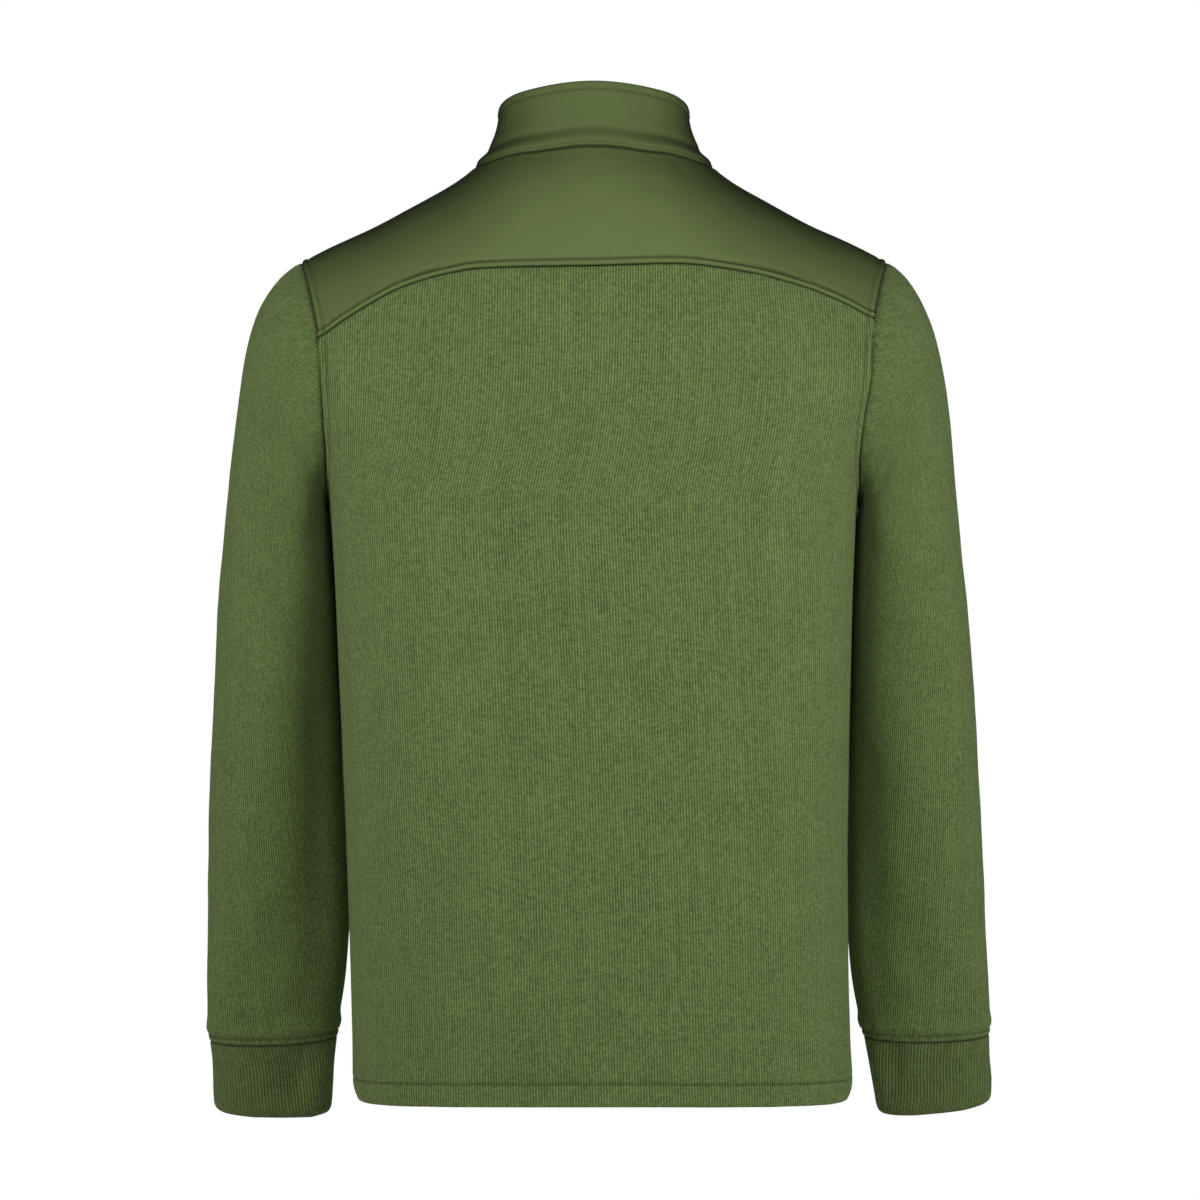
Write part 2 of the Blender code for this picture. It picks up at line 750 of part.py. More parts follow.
def add_sleeve(name, arm, material):
    rings = [float(ring) for ring in range(SLEEVE_RINGS + 1)]

    def point_at(ring, turn):
        return sleeve_point(ring, turn % (2 * math.pi), arm)

    def fold_at(ring, turn):
        return sleeve_fold(ring, turn, arm) * min(ring / 2, (SLEEVE_RINGS - ring) / 2, 1.0)

    def armhole_outward(turn):
        return body_outward(*armhole_place(turn, arm))

    return add_tube(name, point_at, rings, armhole_turns(arm), KNIT_THICKNESS, material, arm,
                    fold_at, armhole_outward)


def add_cuff(name, arm, material):
    rings = [float(ring) for ring in range(CUFF_RINGS + 1)]

    def point_at(ring, turn):
        return ring_point(CUFF, ring, turn, arm)

    return add_tube(name, point_at, rings, armhole_turns(arm), CUFF_THICKNESS, material, arm)


def collar_top(turn):
    cosine = math.cos(turn)
    reach = COLLAR_BACK if cosine >= 0 else COLLAR_FRONT
    height = COLLAR_EDGE["height"](math.degrees(min(abs(turn), 2 * math.pi - abs(turn))))
    return Vector((COLLAR_HALF_WIDTH * math.sin(turn), reach * cosine, height))


def collar_point(turn, rise):
    """A point of the collar: it stands up steeply and flares out to the neck seam."""
    base = body_point(*neck_place(turn))
    top = collar_top(turn)
    flare = (1 - rise) ** COLLAR_FLARE
    point = top + (base - top) * flare
    point.z = base.z + (top.z - base.z) * rise
    return point


def collar_outward(turn, rise):
    step = 0.01
    up = collar_point(turn, min(rise + step, 1.0)) - collar_point(turn, max(rise - step, 0.0))
    around = collar_point(turn + step, rise) - collar_point(turn - step, rise)
    return up.cross(around).normalized()


def collar_turns(neck_turns):
    """The collar's angles from the left side of the zip round the back to its right side."""
    left = list(reversed(neck_front_turns(neck_turns[0])))
    right = neck_front_turns(neck_turns[-1])
    return left[:-1] + list(neck_turns) + right[1:]


def add_collar(material, neck_turns):
    outer = []
    inner = []
    for rise in fractions(COLLAR_ROWS):
        outer_row = []
        inner_row = []
        for turn in collar_turns(neck_turns):
            point = collar_point(turn, rise)
            outward = collar_outward(turn, rise)
            if abs(turn) > math.pi / 2:
                slit = math.copysign(SLIT_HALF_WIDTH, turn)
                point.x = slit if abs(point.x) < SLIT_HALF_WIDTH else point.x
            inner_point = point - outward * COLLAR_THICKNESS
            if abs(point.x) == SLIT_HALF_WIDTH:
                inner_point.x = point.x
            outer_row.append(point)
            inner_row.append(inner_point)
        outer.append(outer_row)
        inner.append(inner_row)
    keep_top = (True, False)
    return cloth_wall("collar", pull_in(outer, rows=keep_top), pull_in(inner, rows=keep_top), material)


def zip_line():
    """Stations up the middle of the front, each as (rise, height): the height on the front panel
    with a rise of 0, or the rise on the collar from 0 to 1 with no height."""
    stations = []
    neck_height = neck_place(math.pi)[1]
    for height in between(UNDERARM_HEIGHT + ZIP_END_GAP, neck_height - ZIP_SEAM_STEP, 8):
        stations.append((0.0, height))
    for rise in (0.02, 0.2, 0.4, 0.65, 0.9, 0.985):
        stations.append((rise, None))
    return stations


def zip_point(station, across, inward):
    """A point on the zip's run, moved in from the face of the cloth."""
    rise, height = station
    if height is None:
        flare = (1 - rise) ** COLLAR_FLARE
        half_width = COLLAR_HALF_WIDTH + (NECK_HALF_WIDTH - COLLAR_HALF_WIDTH) * flare
        point = collar_point(math.pi - math.asin(across / half_width), rise)
        outward = collar_outward(math.pi, rise)
    else:
        point = body_point(across, height, FRONT)
        outward = body_outward(0.0, height, FRONT)
    return point - outward * inward


def add_zip_strip(name, edges, front, back, material):
    """A strip that follows the zip's run between two edges, and between two depths."""
    steps = 2 if edges[1] - edges[0] > CHAIN_HALF_WIDTH * 2.5 else 1
    across = between(edges[0], edges[1], steps)
    outer = [[zip_point(station, x, front) for x in across] for station in zip_line()]
    inner = [[zip_point(station, x, back) for x in across] for station in zip_line()]
    return cloth_wall(name, outer, inner, material)


def add_box(name, size, place, rotation, material=None, bevel=0.0):
    bpy.ops.mesh.primitive_cube_add(size=1.0, location=place * MM, rotation=rotation)
    box = bpy.context.object
    box.name = name
    box.data.name = name
    box.scale = Vector(size) * MM
    bpy.ops.object.transform_apply(location=False, rotation=False, scale=True)
    if bevel:
        modifier = box.modifiers.new("rounded edges", "BEVEL")
        modifier.width = bevel * MM
        modifier.segments = 2
    if material:
        box.data.materials.append(material)
    return box


def add_rod(name, radius, length, place):
    """A round rod along X."""
    bpy.ops.mesh.primitive_cylinder_add(vertices=20, radius=radius * MM, depth=length * MM,
                                        location=place * MM, rotation=(0, math.pi / 2, 0))
    rod = bpy.context.object
    rod.name = name
    return rod


def combine(piece, other, operation):
    """Join or cut with another shape, which is then only a hidden guide."""
    modifier = piece.modifiers.new(other.name, "BOOLEAN")
    modifier.operation = operation
    modifier.object = other
    other.hide_render = True
    other.display_type = "WIRE"


def slider_frame():
    """The slider's middle on the face of the cloth, and the direction it faces."""
    point = collar_point(math.pi, SLIDER_PLACE)
    outward = collar_outward(math.pi, SLIDER_PLACE)
    return Vector((0.0, point.y, point.z)), outward


def add_slider(material):
    """The slider's plate, and two lugs that carry the bar of the pull."""
    middle, outward = slider_frame()
    tilt = (-math.atan2(outward.z, -outward.y), 0.0, 0.0)
    plate_middle = middle + outward * (CHAIN_PROUD + SLIDER_CLEARANCE + SLIDER_THICKNESS / 2)
    plate = add_box("zip_slider", (SLIDER_WIDTH, SLIDER_THICKNESS, SLIDER_HEIGHT), plate_middle,
                    tilt, material, bevel=0.5)
    pivot = middle + outward * PIVOT_PROUD
    lug_across = PULL_WIDTH / 2 + 0.4 + LUG_THICKNESS / 2
    lug_start = CHAIN_PROUD + SLIDER_CLEARANCE + SLIDER_THICKNESS / 2
    lug_end = PIVOT_PROUD + BAR_RADIUS + 0.5
    for arm in (LEFT, RIGHT):
        place = middle + outward * ((lug_start + lug_end) / 2) + Vector((arm * lug_across, 0, 0))
        lug = add_box("lug_guide", (LUG_THICKNESS, lug_end - lug_start, LUG_HALF_HEIGHT * 2), place, tilt)
        combine(plate, lug, "UNION")
    bar = add_rod("bar_guide", BAR_RADIUS, lug_across * 2, pivot)
    combine(plate, bar, "UNION")
    return plate


def add_pull(material):
    """The pull hangs straight down from its eye, which turns on the slider's bar."""
    middle, outward = slider_frame()
    pivot = middle + outward * PIVOT_PROUD
    level = (0.0, 0.0, 0.0)
    blade = add_box("zip_pull", (PULL_WIDTH, PULL_THICKNESS, PULL_LENGTH), pivot, level, material)
    for vert in blade.data.vertices:
        vert.co.z -= PULL_LENGTH / 2 * MM
    eye = add_rod("eye_guide", PULL_EYE_RADIUS, PULL_WIDTH, pivot)
    hole = add_rod("hole_guide", PULL_HOLE_RADIUS, PULL_WIDTH * 2, pivot)
    combine(blade, eye, "UNION")
    combine(blade, hole, "DIFFERENCE")
    return blade


def main():
    for item in list(bpy.data.objects):
        bpy.data.objects.remove(item)
    knit = add_material("rib_knit", (0.125, 0.175, 0.062), 0.9)
    smooth_cloth = add_material("smooth_cloth", (0.115, 0.160, 0.058), 0.85)
    tape = add_material("zip_tape", (0.060, 0.085, 0.032), 0.85)
    teeth = add_material("zip_teeth", (0.030, 0.042, 0.020), 0.45)
    metal = add_material("painted_metal", (0.025, 0.034, 0.018), 0.4, metallic=0.6)

    yoke_lines, neck_turns = yoke_places()
    add_back(knit)
    add_front(knit, yoke_lines, neck_turns)
    add_yoke(smooth_cloth, yoke_lines)
    add_collar(smooth_cloth, neck_turns)
    for name, arm in (("left", LEFT), ("right", RIGHT)):
        add_sleeve("sleeve_" + name, arm, knit)
        add_cuff("cuff_" + name, arm, knit)
        near, far = sorted((arm * TAPE_INNER_EDGE, arm * TAPE_OUTER_EDGE))
        add_zip_strip("zip_tape_" + name, (near, far), TAPE_BEHIND, TAPE_BEHIND + TAPE_THICKNESS, tape)
    add_zip_strip("zip_teeth", (-CHAIN_HALF_WIDTH, CHAIN_HALF_WIDTH), -CHAIN_PROUD, CHAIN_DEPTH, teeth)
    add_slider(metal)
    add_pull(metal)


main()
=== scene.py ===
"""The looks of a knitted sweatshirt with a stand collar, a shoulder yoke and a quarter zip.

Lengths are written in millimetres and made metres where the meshes are made. +Z is up, the front
faces -Y and the wearer's left is +X.
"""

import bisect
import functools
import math

import bmesh
import bpy
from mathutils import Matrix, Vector, kdtree, noise


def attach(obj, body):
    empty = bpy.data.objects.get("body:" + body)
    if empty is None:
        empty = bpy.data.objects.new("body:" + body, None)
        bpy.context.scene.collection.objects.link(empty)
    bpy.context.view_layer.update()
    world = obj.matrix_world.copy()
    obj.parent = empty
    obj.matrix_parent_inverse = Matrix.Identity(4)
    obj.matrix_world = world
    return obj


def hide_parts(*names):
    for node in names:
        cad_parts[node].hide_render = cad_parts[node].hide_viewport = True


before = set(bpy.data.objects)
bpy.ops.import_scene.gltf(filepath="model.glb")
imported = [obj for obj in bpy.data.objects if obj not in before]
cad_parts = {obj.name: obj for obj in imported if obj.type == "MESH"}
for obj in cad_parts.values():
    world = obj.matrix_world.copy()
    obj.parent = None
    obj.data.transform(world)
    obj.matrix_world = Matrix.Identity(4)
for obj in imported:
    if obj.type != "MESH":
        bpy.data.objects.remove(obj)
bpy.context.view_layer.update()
scene = bpy.context.scene


# ---- Camera ----
# It looks straight at the back of the garment from as far away as the photo was taken.
bpy.ops.object.camera_add(location=(-0.0045, 3.6, -0.324), rotation=(math.radians(90), 0, math.radians(180)))
camera = bpy.context.object
camera.name = "camera"
camera.data.sensor_width = 36
camera.data.lens = 144
scene.camera = camera


# ---- Back ----
# One panel of fine ribbed knit with its wales running down, sewn to the yoke along a curved seam, to
# the sleeves and to the front. Its lower edge is turned up once and stitched.
MM = 0.001
BACK = 1
FRONT = -1
LEFT = 1
RIGHT = -1

SEAM_GAP = 0.5
KNIT_THICKNESS = 2.0
HEM_THICKNESS = 3.4
HEM_HEIGHT = 16.5
HEM_ROUNDING = 1.4
SHOULDER_POINT_HEIGHT = -71.0
UNDERARM_HEIGHT = -250.0
ARMHOLE_MIDDLE = (SHOULDER_POINT_HEIGHT + UNDERARM_HEIGHT) / 2
ARMHOLE_RADIUS = (SHOULDER_POINT_HEIGHT - UNDERARM_HEIGHT) / 2
YOKE_FRONT_REACH = 42.0
HEM_LEVEL = -690.0
HEM_SIDE_DROP = 6.0
RIGHT_CORNER = -206.0
LEFT_CORNER = 203.0


def smooth_curve(keys, values):
    """A curve through the values that never swings past them."""
    spans = [after - before for before, after in zip(keys, keys[1:])]
    rises = [(after - before) / span for before, after, span in zip(values, values[1:], spans)]
    slopes = [rises[0]]
    for before, after in zip(rises, rises[1:]):
        slopes.append(0.0 if before * after <= 0 else 2 * before * after / (before + after))
    slopes.append(rises[-1])

    def curve(key):
        place = min(max(bisect.bisect_right(keys, key) - 1, 0), len(spans) - 1)
        t = min(max((key - keys[place]) / spans[place], 0.0), 1.0)
        start = values[place] + t * spans[place] * slopes[place] * (1 - t) ** 2
        end_pull = spans[place] * slopes[place + 1] * (t - 1) * t * t
        rise = (values[place + 1] - values[place]) * t * t * (3 - 2 * t)
        return start + rise + end_pull

    return curve


def table(columns, *rows):
    """A smooth curve for each named column, over the first column."""
    names = columns.split()
    keys = [row[0] for row in rows]
    return {name: smooth_curve(keys, [row[place] for row in rows]) for place, name in enumerate(names)}


# Level sections through the body
TORSO = table(
    "height half_width back_depth front_depth squareness lean",
    (-700, 179.0, 139, 142, 2.60, -6.8),
    (-694, 183.6, 139, 142, 2.60, -6.7),
    (-688, 185.9, 139, 142, 2.60, -6.6),
    (-680, 186.7, 139, 142, 2.60, -6.4),
    (-650, 186.3, 139, 142, 2.60, -5.4),
    (-600, 186.3, 139, 142, 2.60, -4.0),
    (-500, 187.5, 137, 141, 2.70, -2.3),
    (-400, 190.5, 134, 139, 2.85, -0.8),
    (-325, 192.8, 132, 137, 3.05, -0.2),
    (-250, 197.3, 130, 134, 3.20, 0.5),
    (-235, 199.5, 129, 133, 3.10, 0.5),
    (-215, 208.0, 128, 131, 2.85, 0.4),
    (-190, 224.0, 128, 129, 2.60, 0.0),
    (-160, 239.0, 128, 126, 2.40, 0.0),
    (-120, 247.0, 128, 120, 2.30, 0.0),
    (-75, 250.0, 128, 112, 2.25, 0.0),
    (60, 250.0, 128, 112, 2.25, 0.0),
)

# The shoulder line
SHOULDER = table(
    "across height",
    (-50, 26.0),
    (0, 42.0),
    (50, 26.0),
    (89, -0.5),
    (104, -11.5),
    (125, -23.5),
    (160, -42.5),
    (195, -58.5),
    (219, -71.0),
)

# The armhole seam, as its distance from the middle on each side
ARMHOLE = table(
    "height left right",
    (-250, 197.8, 196.8),
    (-220, 197.5, 195.5),
    (-190, 199.0, 198.5),
    (-160, 200.5, 203.5),
    (-130, 203.0, 205.0),
    (-95, 211.0, 211.5),
    (-71, 219.0, 219.0),
)

# The seam between the yoke and the back, from the right armhole to the left one
YOKE_SEAM = table(
    "across height",
    (-206, -116.5),
    (-180, -104.0),
    (-150, -93.0),
    (-106, -83.5),
    (-62, -79.5),
    (0, -81.5),
    (83, -82.5),
    (112, -87.0),
    (141, -95.5),
    (171, -111.0),
    (203, -132.0),
)

# How deep the cloth rounds over from the shoulder line, by distance from the middle
ROUNDING = table(
    "across back front",
    (0, 169, 250),
    (90, 145, 200),
    (219, 110, 130),
)

# The folds of the body: troughs have a positive depth, ridges a negative one
BODY_FOLDS = (
    # side, from across, from height, to across, to height, half width, depth
    (BACK, 46, -265, 78, -445, 26, 3.6),
    (BACK, 78, -445, 138, -575, 24, 5.0),
    (BACK, 138, -575, 152, -640, 22, 4.8),
    (BACK, -118, -200, -108, -330, 26, 3.6),
    (BACK, -108, -330, -136, -430, 24, 3.6),
    (BACK, 0, -430, 2, -560, 26, 3.0),
    (BACK, 40, -590, 44, -680, 26, -3.2),
    (BACK, -84, -590, -88, -680, 26, -3.2),
    (FRONT, -60, -300, -96, -520, 30, 3.5),
    (FRONT, 70, -290, 118, -560, 28, 3.5),
    (FRONT, 20, -520, 12, -670, 28, -2.5),
    (FRONT, 130, -170, 96, -270, 24, 2.5),
    (FRONT, -132, -175, -100, -280, 24, 2.5),
    # The finer ones
    (BACK, 21, -325, 25, -402, 15, -1.3),
    (BACK, 80, -500, 86, -575, 16, -1.5),
    (BACK, -20, -560, -25, -642, 14, -1.2),
    (BACK, -129, -648, -129, -690, 8, -2.0),
    (BACK, -145, -612, -147, -688, 9, 1.9),
    (BACK, 118, -640, 123, -690, 9, 1.3),
    (BACK, 94, -658, 97, -690, 7, -1.0),
    (BACK, -46, -655, -49, -690, 7, 1.0),
    (BACK, 6, -664, 7, -690, 7, -0.9),
    (BACK, -112, -668, -113, -690, 6, 0.9),
    (BACK, 186, -262, 148, -302, 12, 1.3),
    (BACK, -186, -262, -146, -310, 12, 1.3),
    (BACK, 186, -212, 162, -240, 8, 0.9),
    (BACK, -185, -205, -164, -236, 8, 0.8),
    (BACK, 180, -404, 146, -462, 14, 1.5),
    (BACK, -180, -508, -148, -560, 14, 1.6),
    (BACK, 160, -120, 170, -170, 10, 0.8),
    (FRONT, 30, -300, 44, -392, 15, 1.3),
    (FRONT, -28, -350, -40, -455, 16, 1.4),
    (FRONT, 150, -420, 128, -500, 15, 1.7),
    (FRONT, -152, -500, -126, -570, 15, 1.6),
    (FRONT, -66, -640, -68, -690, 9, -1.6),
    (FRONT, 62, -634, 66, -690, 9, 1.4),
    (FRONT, 108, -655, 111, -690, 7, -1.0),
    (FRONT, -120, -650, -124, -690, 8, 1.2),
    (FRONT, 184, -262, 142, -300, 12, 1.4),
    (FRONT, -184, -262, -144, -308, 12, 1.3),
)


def bell(distance, middle, half_width):
    """A soft swell of height 1 that dies away on both sides of its middle."""
    return math.exp(-((distance - middle) / half_width) ** 2)


def fold_depth(distance, along, half_width, depth):
    """How deep one fold is at a distance from its line and a fraction of its length."""
    reach = math.sin(math.pi * min(max(0.08 + 0.84 * along, 0.0), 1.0))
    return depth * reach * bell(distance, 0, half_width)


def along_line(point, start, end):
    """The distance from a point to a line in the flat, and how far along the line it lies."""
    across = (end[0] - start[0], end[1] - start[1])
    away = (point[0] - start[0], point[1] - start[1])
    length = across[0] ** 2 + across[1] ** 2
    along = min(max((away[0] * across[0] + away[1] * across[1]) / length, 0.0), 1.0)
    return math.hypot(away[0] - along * across[0], away[1] - along * across[1]), along


def side_name(side):
    return "back" if side == BACK else "front"


def shoulder_height(across):
    return SHOULDER["height"](abs(across))


def rounding(across, side):
    return ROUNDING[side_name(side)](abs(across))


def body_depth(across, height, side):
    """How far the cloth lies behind or in front of the shoulder line."""
    half_width = TORSO["half_width"](height)
    squareness = TORSO["squareness"](height)
    ratio = min(abs(across - TORSO["lean"](height)) / half_width, 1.0)
    depth = TORSO[side_name(side) + "_depth"](height) * (1 - ratio ** squareness) ** (1 / squareness)
    reach = rounding(across, side)
    rise = min(max((height - shoulder_height(across) + reach) / reach, 0.0), 1.0)
    return depth * math.sqrt(1 - rise * rise)


def body_outward(across, height, side):
    """The direction that the cloth faces."""
    step = 0.5
    wider = body_depth(across + step, height, side) ** 2 - body_depth(across - step, height, side) ** 2
    higher = body_depth(across, height + step, side) ** 2 - body_depth(across, height - step, side) ** 2
    depth = body_depth(across, height, side)
    return Vector((-wider / (2 * step), 2 * side * depth, -higher / (2 * step))).normalized()


def body_fold(across, height, side):
    """How deep all the folds together press the cloth in at a place."""
    total = 0.0
    for fold_side, start_x, start_z, end_x, end_z, half_width, depth in BODY_FOLDS:
        if fold_side == side:
            distance, along = along_line((across, height), (start_x, start_z), (end_x, end_z))
            if distance < 3 * half_width:
                total += fold_depth(distance, along, half_width, depth)
    return total


# Where a sleeve lies beside the body: below this height, and between these distances from the middle
BESIDE_TOP = -240.0
BESIDE_NEAR = 176.0
BESIDE_FAR = 212.0
BESIDE_SHARE = 0.3


def unevenness(point):
    """The slight waviness of cloth that no table names, less where a sleeve lies beside the body."""
    beside = point.z < BESIDE_TOP and BESIDE_NEAR < abs(point.x) < BESIDE_FAR
    waves = 0.45 * noise.noise(point / 42) + 0.2 * noise.noise(point / 17)
    return waves * (BESIDE_SHARE if beside else 1.0)


def body_point(across, height, side):
    """A point of the body's cloth."""
    base = Vector((across, side * body_depth(across, height, side), height))
    return base - body_outward(across, height, side) * body_fold(across, height, side)


def climb(across, height, side):
    """Height measured along the cloth's own curve, so that steps stay even over the shoulder."""
    reach = rounding(across, side)
    start = shoulder_height(across) - reach
    if height <= start:
        return height
    return start + reach * math.asin(min((height - start) / reach, 1.0))


def height_of_climb(across, climbed, side):
    """The height that belongs to a climb."""
    reach = rounding(across, side)
    start = shoulder_height(across) - reach
    if climbed <= start:
        return climbed
    return start + reach * math.sin(min((climbed - start) / reach, math.pi / 2))


def armhole_across(height, arm):
    return arm * ARMHOLE["left" if arm == LEFT else "right"](height)


def armhole_height(turn):
    return ARMHOLE_MIDDLE + ARMHOLE_RADIUS * math.cos(turn)


def armhole_turn(height):
    return math.acos((height - ARMHOLE_MIDDLE) / ARMHOLE_RADIUS)


def front_corner_turn(arm):
    """Where the yoke's front edge meets the armhole."""
    low = ARMHOLE_MIDDLE
    high = SHOULDER_POINT_HEIGHT
    for _ in range(40):
        middle = (low + high) / 2
        if body_depth(armhole_across(middle, arm), middle, FRONT) > YOKE_FRONT_REACH:
            low = middle
        else:
            high = middle
    return 2 * math.pi - armhole_turn((low + high) / 2)


def back_corner_turn(arm):
    return armhole_turn(YOKE_SEAM["height"](LEFT_CORNER if arm == LEFT else RIGHT_CORNER))


def armhole_place(turn, arm):
    height = armhole_height(turn)
    side = BACK if turn <= math.pi else FRONT
    return armhole_across(height, arm), height, side


def ring_angle(across, height):
    """The angle round the level ring that a point lies at."""
    ratio = min(abs(across) / TORSO["half_width"](height), 1.0)
    return math.asin(ratio ** (TORSO["squareness"](height) / 2))


def across_of_share(share, height):
    """How far across a share of the way round to the armhole or the side seam lies."""
    arm = LEFT if share > 0 else RIGHT
    half_width = TORSO["half_width"](height)
    if height <= UNDERARM_HEIGHT:
        widest = math.pi / 2
    else:
        widest = ring_angle(armhole_across(height, arm), height)
    sine = math.sin(abs(share) * widest)
    lean = TORSO["lean"](height) if height <= UNDERARM_HEIGHT else 0.0
    return arm * half_width * sine ** (2 / TORSO["squareness"](height)) + lean


def share_of_across(across, height):
    arm = LEFT if across > 0 else RIGHT
    return arm * ring_angle(across, height) / ring_angle(armhole_across(height, arm), height)


def seam_place(share):
    """A point of the seam between the back and the yoke."""
    height = YOKE_SEAM["height"](0.0)
    for _ in range(12):
        across = across_of_share(share, height)
        height = YOKE_SEAM["height"](across)
    if abs(share) == 1.0:
        across = LEFT_CORNER if share > 0 else RIGHT_CORNER
        height = YOKE_SEAM["height"](across)
        across = armhole_across(height, LEFT if share > 0 else RIGHT)
    return across, height, BACK


def between(start, end, count):
    return [start + (end - start) * step / count for step in range(count + 1)]


def spread(length, step, low=True, high=True):
    """Fractions along a length: even steps, and close ones beside a sewn edge."""
    close = [0.0, 0.15, 0.5, 1.1, 1.9, 2.9, 3.9, 4.7, 5.4, 6.1, 7.0, 8.4]
    start = close if low else [0.0]
    end = [length - place for place in reversed(close)] if high else [length]
    count = max(round((end[0] - start[-1]) / step), 1)
    places = start + between(start[-1], end[0], count)[1:-1] + end
    return [place / length for place in places]


def hem_height(share):
    return HEM_LEVEL - HEM_SIDE_DROP * math.sin(abs(share) * math.pi / 2) ** 2


def lower_place(share, part, side):
    """A point between the hem, at 0, and the level of the underarm, at 1."""
    height = hem_height(share) + (UNDERARM_HEIGHT - hem_height(share)) * part
    return across_of_share(share, height), height, side


def hem_parts():
    """The rows from the hem up, close together at its edge and at its stitching."""
    near_edge = [0.0, 0.15, 0.5, 1.1, 2.2, 4.5, 7.5, 10.5, 13.0, 14.8]
    near_stitches = [15.7, 16.3, 16.9, 17.8, 19.5, 22.5]
    length = UNDERARM_HEIGHT - HEM_LEVEL
    places = near_edge + near_stitches + between(near_stitches[-1], length, 96)[1:]
    return [place / length for place in places]


UPPER_PARTS = spread(130, 2.6, low=False)


def panel_places(tops, side):
    """The grid of the front or the back, a list of rows from the hem up. The tops are the places
    along the panel's upper edge."""
    shares = [share_of_across(across, min(height, SHOULDER_POINT_HEIGHT)) for across, height, _ in tops]
    shares[0] = math.copysign(1.0, shares[0])
    shares[-1] = math.copysign(1.0, shares[-1])
    rows = [[lower_place(share, part, side) for share in shares] for part in hem_parts()]
    corner_turn = back_corner_turn if side == BACK else front_corner_turn
    corners = {arm: corner_turn(arm) for arm in (LEFT, RIGHT)}
    for upper_part in UPPER_PARTS[1:]:
        row = []
        for place, (top_x, top_z, _) in enumerate(tops):
            arm = LEFT if top_x > 0 else RIGHT
            corner_x, corner_z, _ = armhole_place(corners[arm], arm)
            edge_x, edge_z, _ = armhole_place(math.pi + (corners[arm] - math.pi) * upper_part, arm)
            if place in (0, len(tops) - 1):
                row.append((edge_x, edge_z, side))
                continue
            low = climb(edge_x, UNDERARM_HEIGHT, side)
            part = (climb(edge_x, edge_z, side) - low) / (climb(corner_x, corner_z, side) - low)
            start = climb(top_x, UNDERARM_HEIGHT, side)
            height = height_of_climb(top_x, start + (climb(top_x, top_z, side) - start) * part, side)
            if upper_part == 1.0:
                row.append((top_x, top_z, side))
                continue
            across = across_of_share(shares[place], min(height, SHOULDER_POINT_HEIGHT))
            ease = max(part - 0.5, 0.0) * 2
            row.append((across + (top_x - across) * ease ** 2, height, side))
        rows.append(row)
    return rows


EDGE_PULL = SEAM_GAP / 4
EDGE_ROWS = 8


def pull_in(grid, rows=(True, True)):
    """Draw the sewn edges of a grid in a little, so that neighbours stand apart. The rows say
    whether its first and its last row are sewn."""
    moved = [[point.copy() for point in row] for row in grid]
    last_row = len(grid) - 1
    last_column = len(grid[0]) - 1
    for row in range(len(grid)):
        for column in range(len(grid[0])):
            aims = []
            if row == 0 and rows[0]:
                aims.append((EDGE_ROWS, column))
            if row == last_row and rows[1]:
                aims.append((last_row - EDGE_ROWS, column))
            if column == 0:
                aims.append((row, EDGE_ROWS))
            if column == last_column:
                aims.append((row, last_column - EDGE_ROWS))
            for aim_row, aim_column in aims:
                way = grid[aim_row][aim_column] - grid[row][column]
                moved[row][column] += way.normalized() * EDGE_PULL
    return moved


SEAM_STEP = 0.4
SEAM_REACH = 20


def seam_tree(points):
    """A finder of the nearest point on a seam."""
    dense = []
    for start, end in zip(points, points[1:]):
        steps = max(math.ceil((end - start).length / SEAM_STEP), 1)
        dense += [start.lerp(end, step / steps) for step in range(steps)]
    dense.append(points[-1])
    tree = kdtree.KDTree(len(dense))
    for number, point in enumerate(dense):
        tree.insert(point, number)
    tree.balance()
    return tree


def seam_style(dips, shadows, pucker=None):
    """How the cloth beside a seam lies, as a function of the distance from the seam and the length
    along it that gives a depth and the part of the light that is lost.

    A dip has its distance from the seam, half width and depth, and a swell is a dip with a negative
    depth. A shadow has its distance, half width and part of the light: it is painted shade, taken out
    of the cloth's colour. A pucker is a dip that comes and goes along the seam, with the lengths of
    its waves: the short one, how far the long one shifts it, and the long one.
    """
    def style(distance, along):
        depth = sum(size * bell(distance, middle, half_width) for middle, half_width, size in dips)
        lost = sum(size * bell(distance, middle, half_width) for middle, half_width, size in shadows)
        if pucker:
            middle, half_width, size, short_wave, shift, long_wave = pucker
            swing = math.sin(along / short_wave + shift * math.sin(along / long_wave))
            depth += size * swing * bell(distance, middle, half_width)
        return depth, lost

    return style


# Each style's shadows are painted shade, darkening the cloth's colour beside its seam
# Cloth that rolls down into a seam
plain_edge = seam_style([(0, 1.3, 0.8), (4, 2.5, -0.3)], [(0, 0.9, 0.5)])

# Cloth that rolls into a seam and is pressed down again by the stitches beside it
STITCH_MARGIN = 6.1
stitched_edge = seam_style(
    [(0, 0.8, 0.8), (STITCH_MARGIN / 2, 2.1, -0.9), (STITCH_MARGIN, 0.9, 0.6)],
    [(0, 0.7, 0.45), (STITCH_MARGIN, 0.6, 0.4)],
    (STITCH_MARGIN / 2, 1.485, -0.18, 1.9, 2.2, 13))


def press(outer, ways, seams):
    """Sink or raise a grid of points along its seams, and find the light that is left to each: painted
    shade that is later multiplied into the colour.
    """
    pressed = []
    lights = []
    for row, way_row in zip(outer, ways):
        pressed.append([])
        lights.append([])
        for point, way in zip(row, way_row):
            depth = unevenness(point)
            light = 1.0
            for tree, style in seams:
                _, number, distance = tree.find(point)
                if distance < SEAM_REACH:
                    sunk, lost = style(distance, number * SEAM_STEP)
                    depth += sunk
                    light *= 1.0 - lost
            pressed[-1].append(point - way * depth)
            lights[-1].append(light)
    return pressed, lights


def body_cloth(places):
    """The outer points of a piece of the body, and the direction that each faces."""
    outer = [[body_point(*place) for place in row] for row in places]
    ways = [[body_outward(*place) for place in row] for row in places]
    return outer, ways


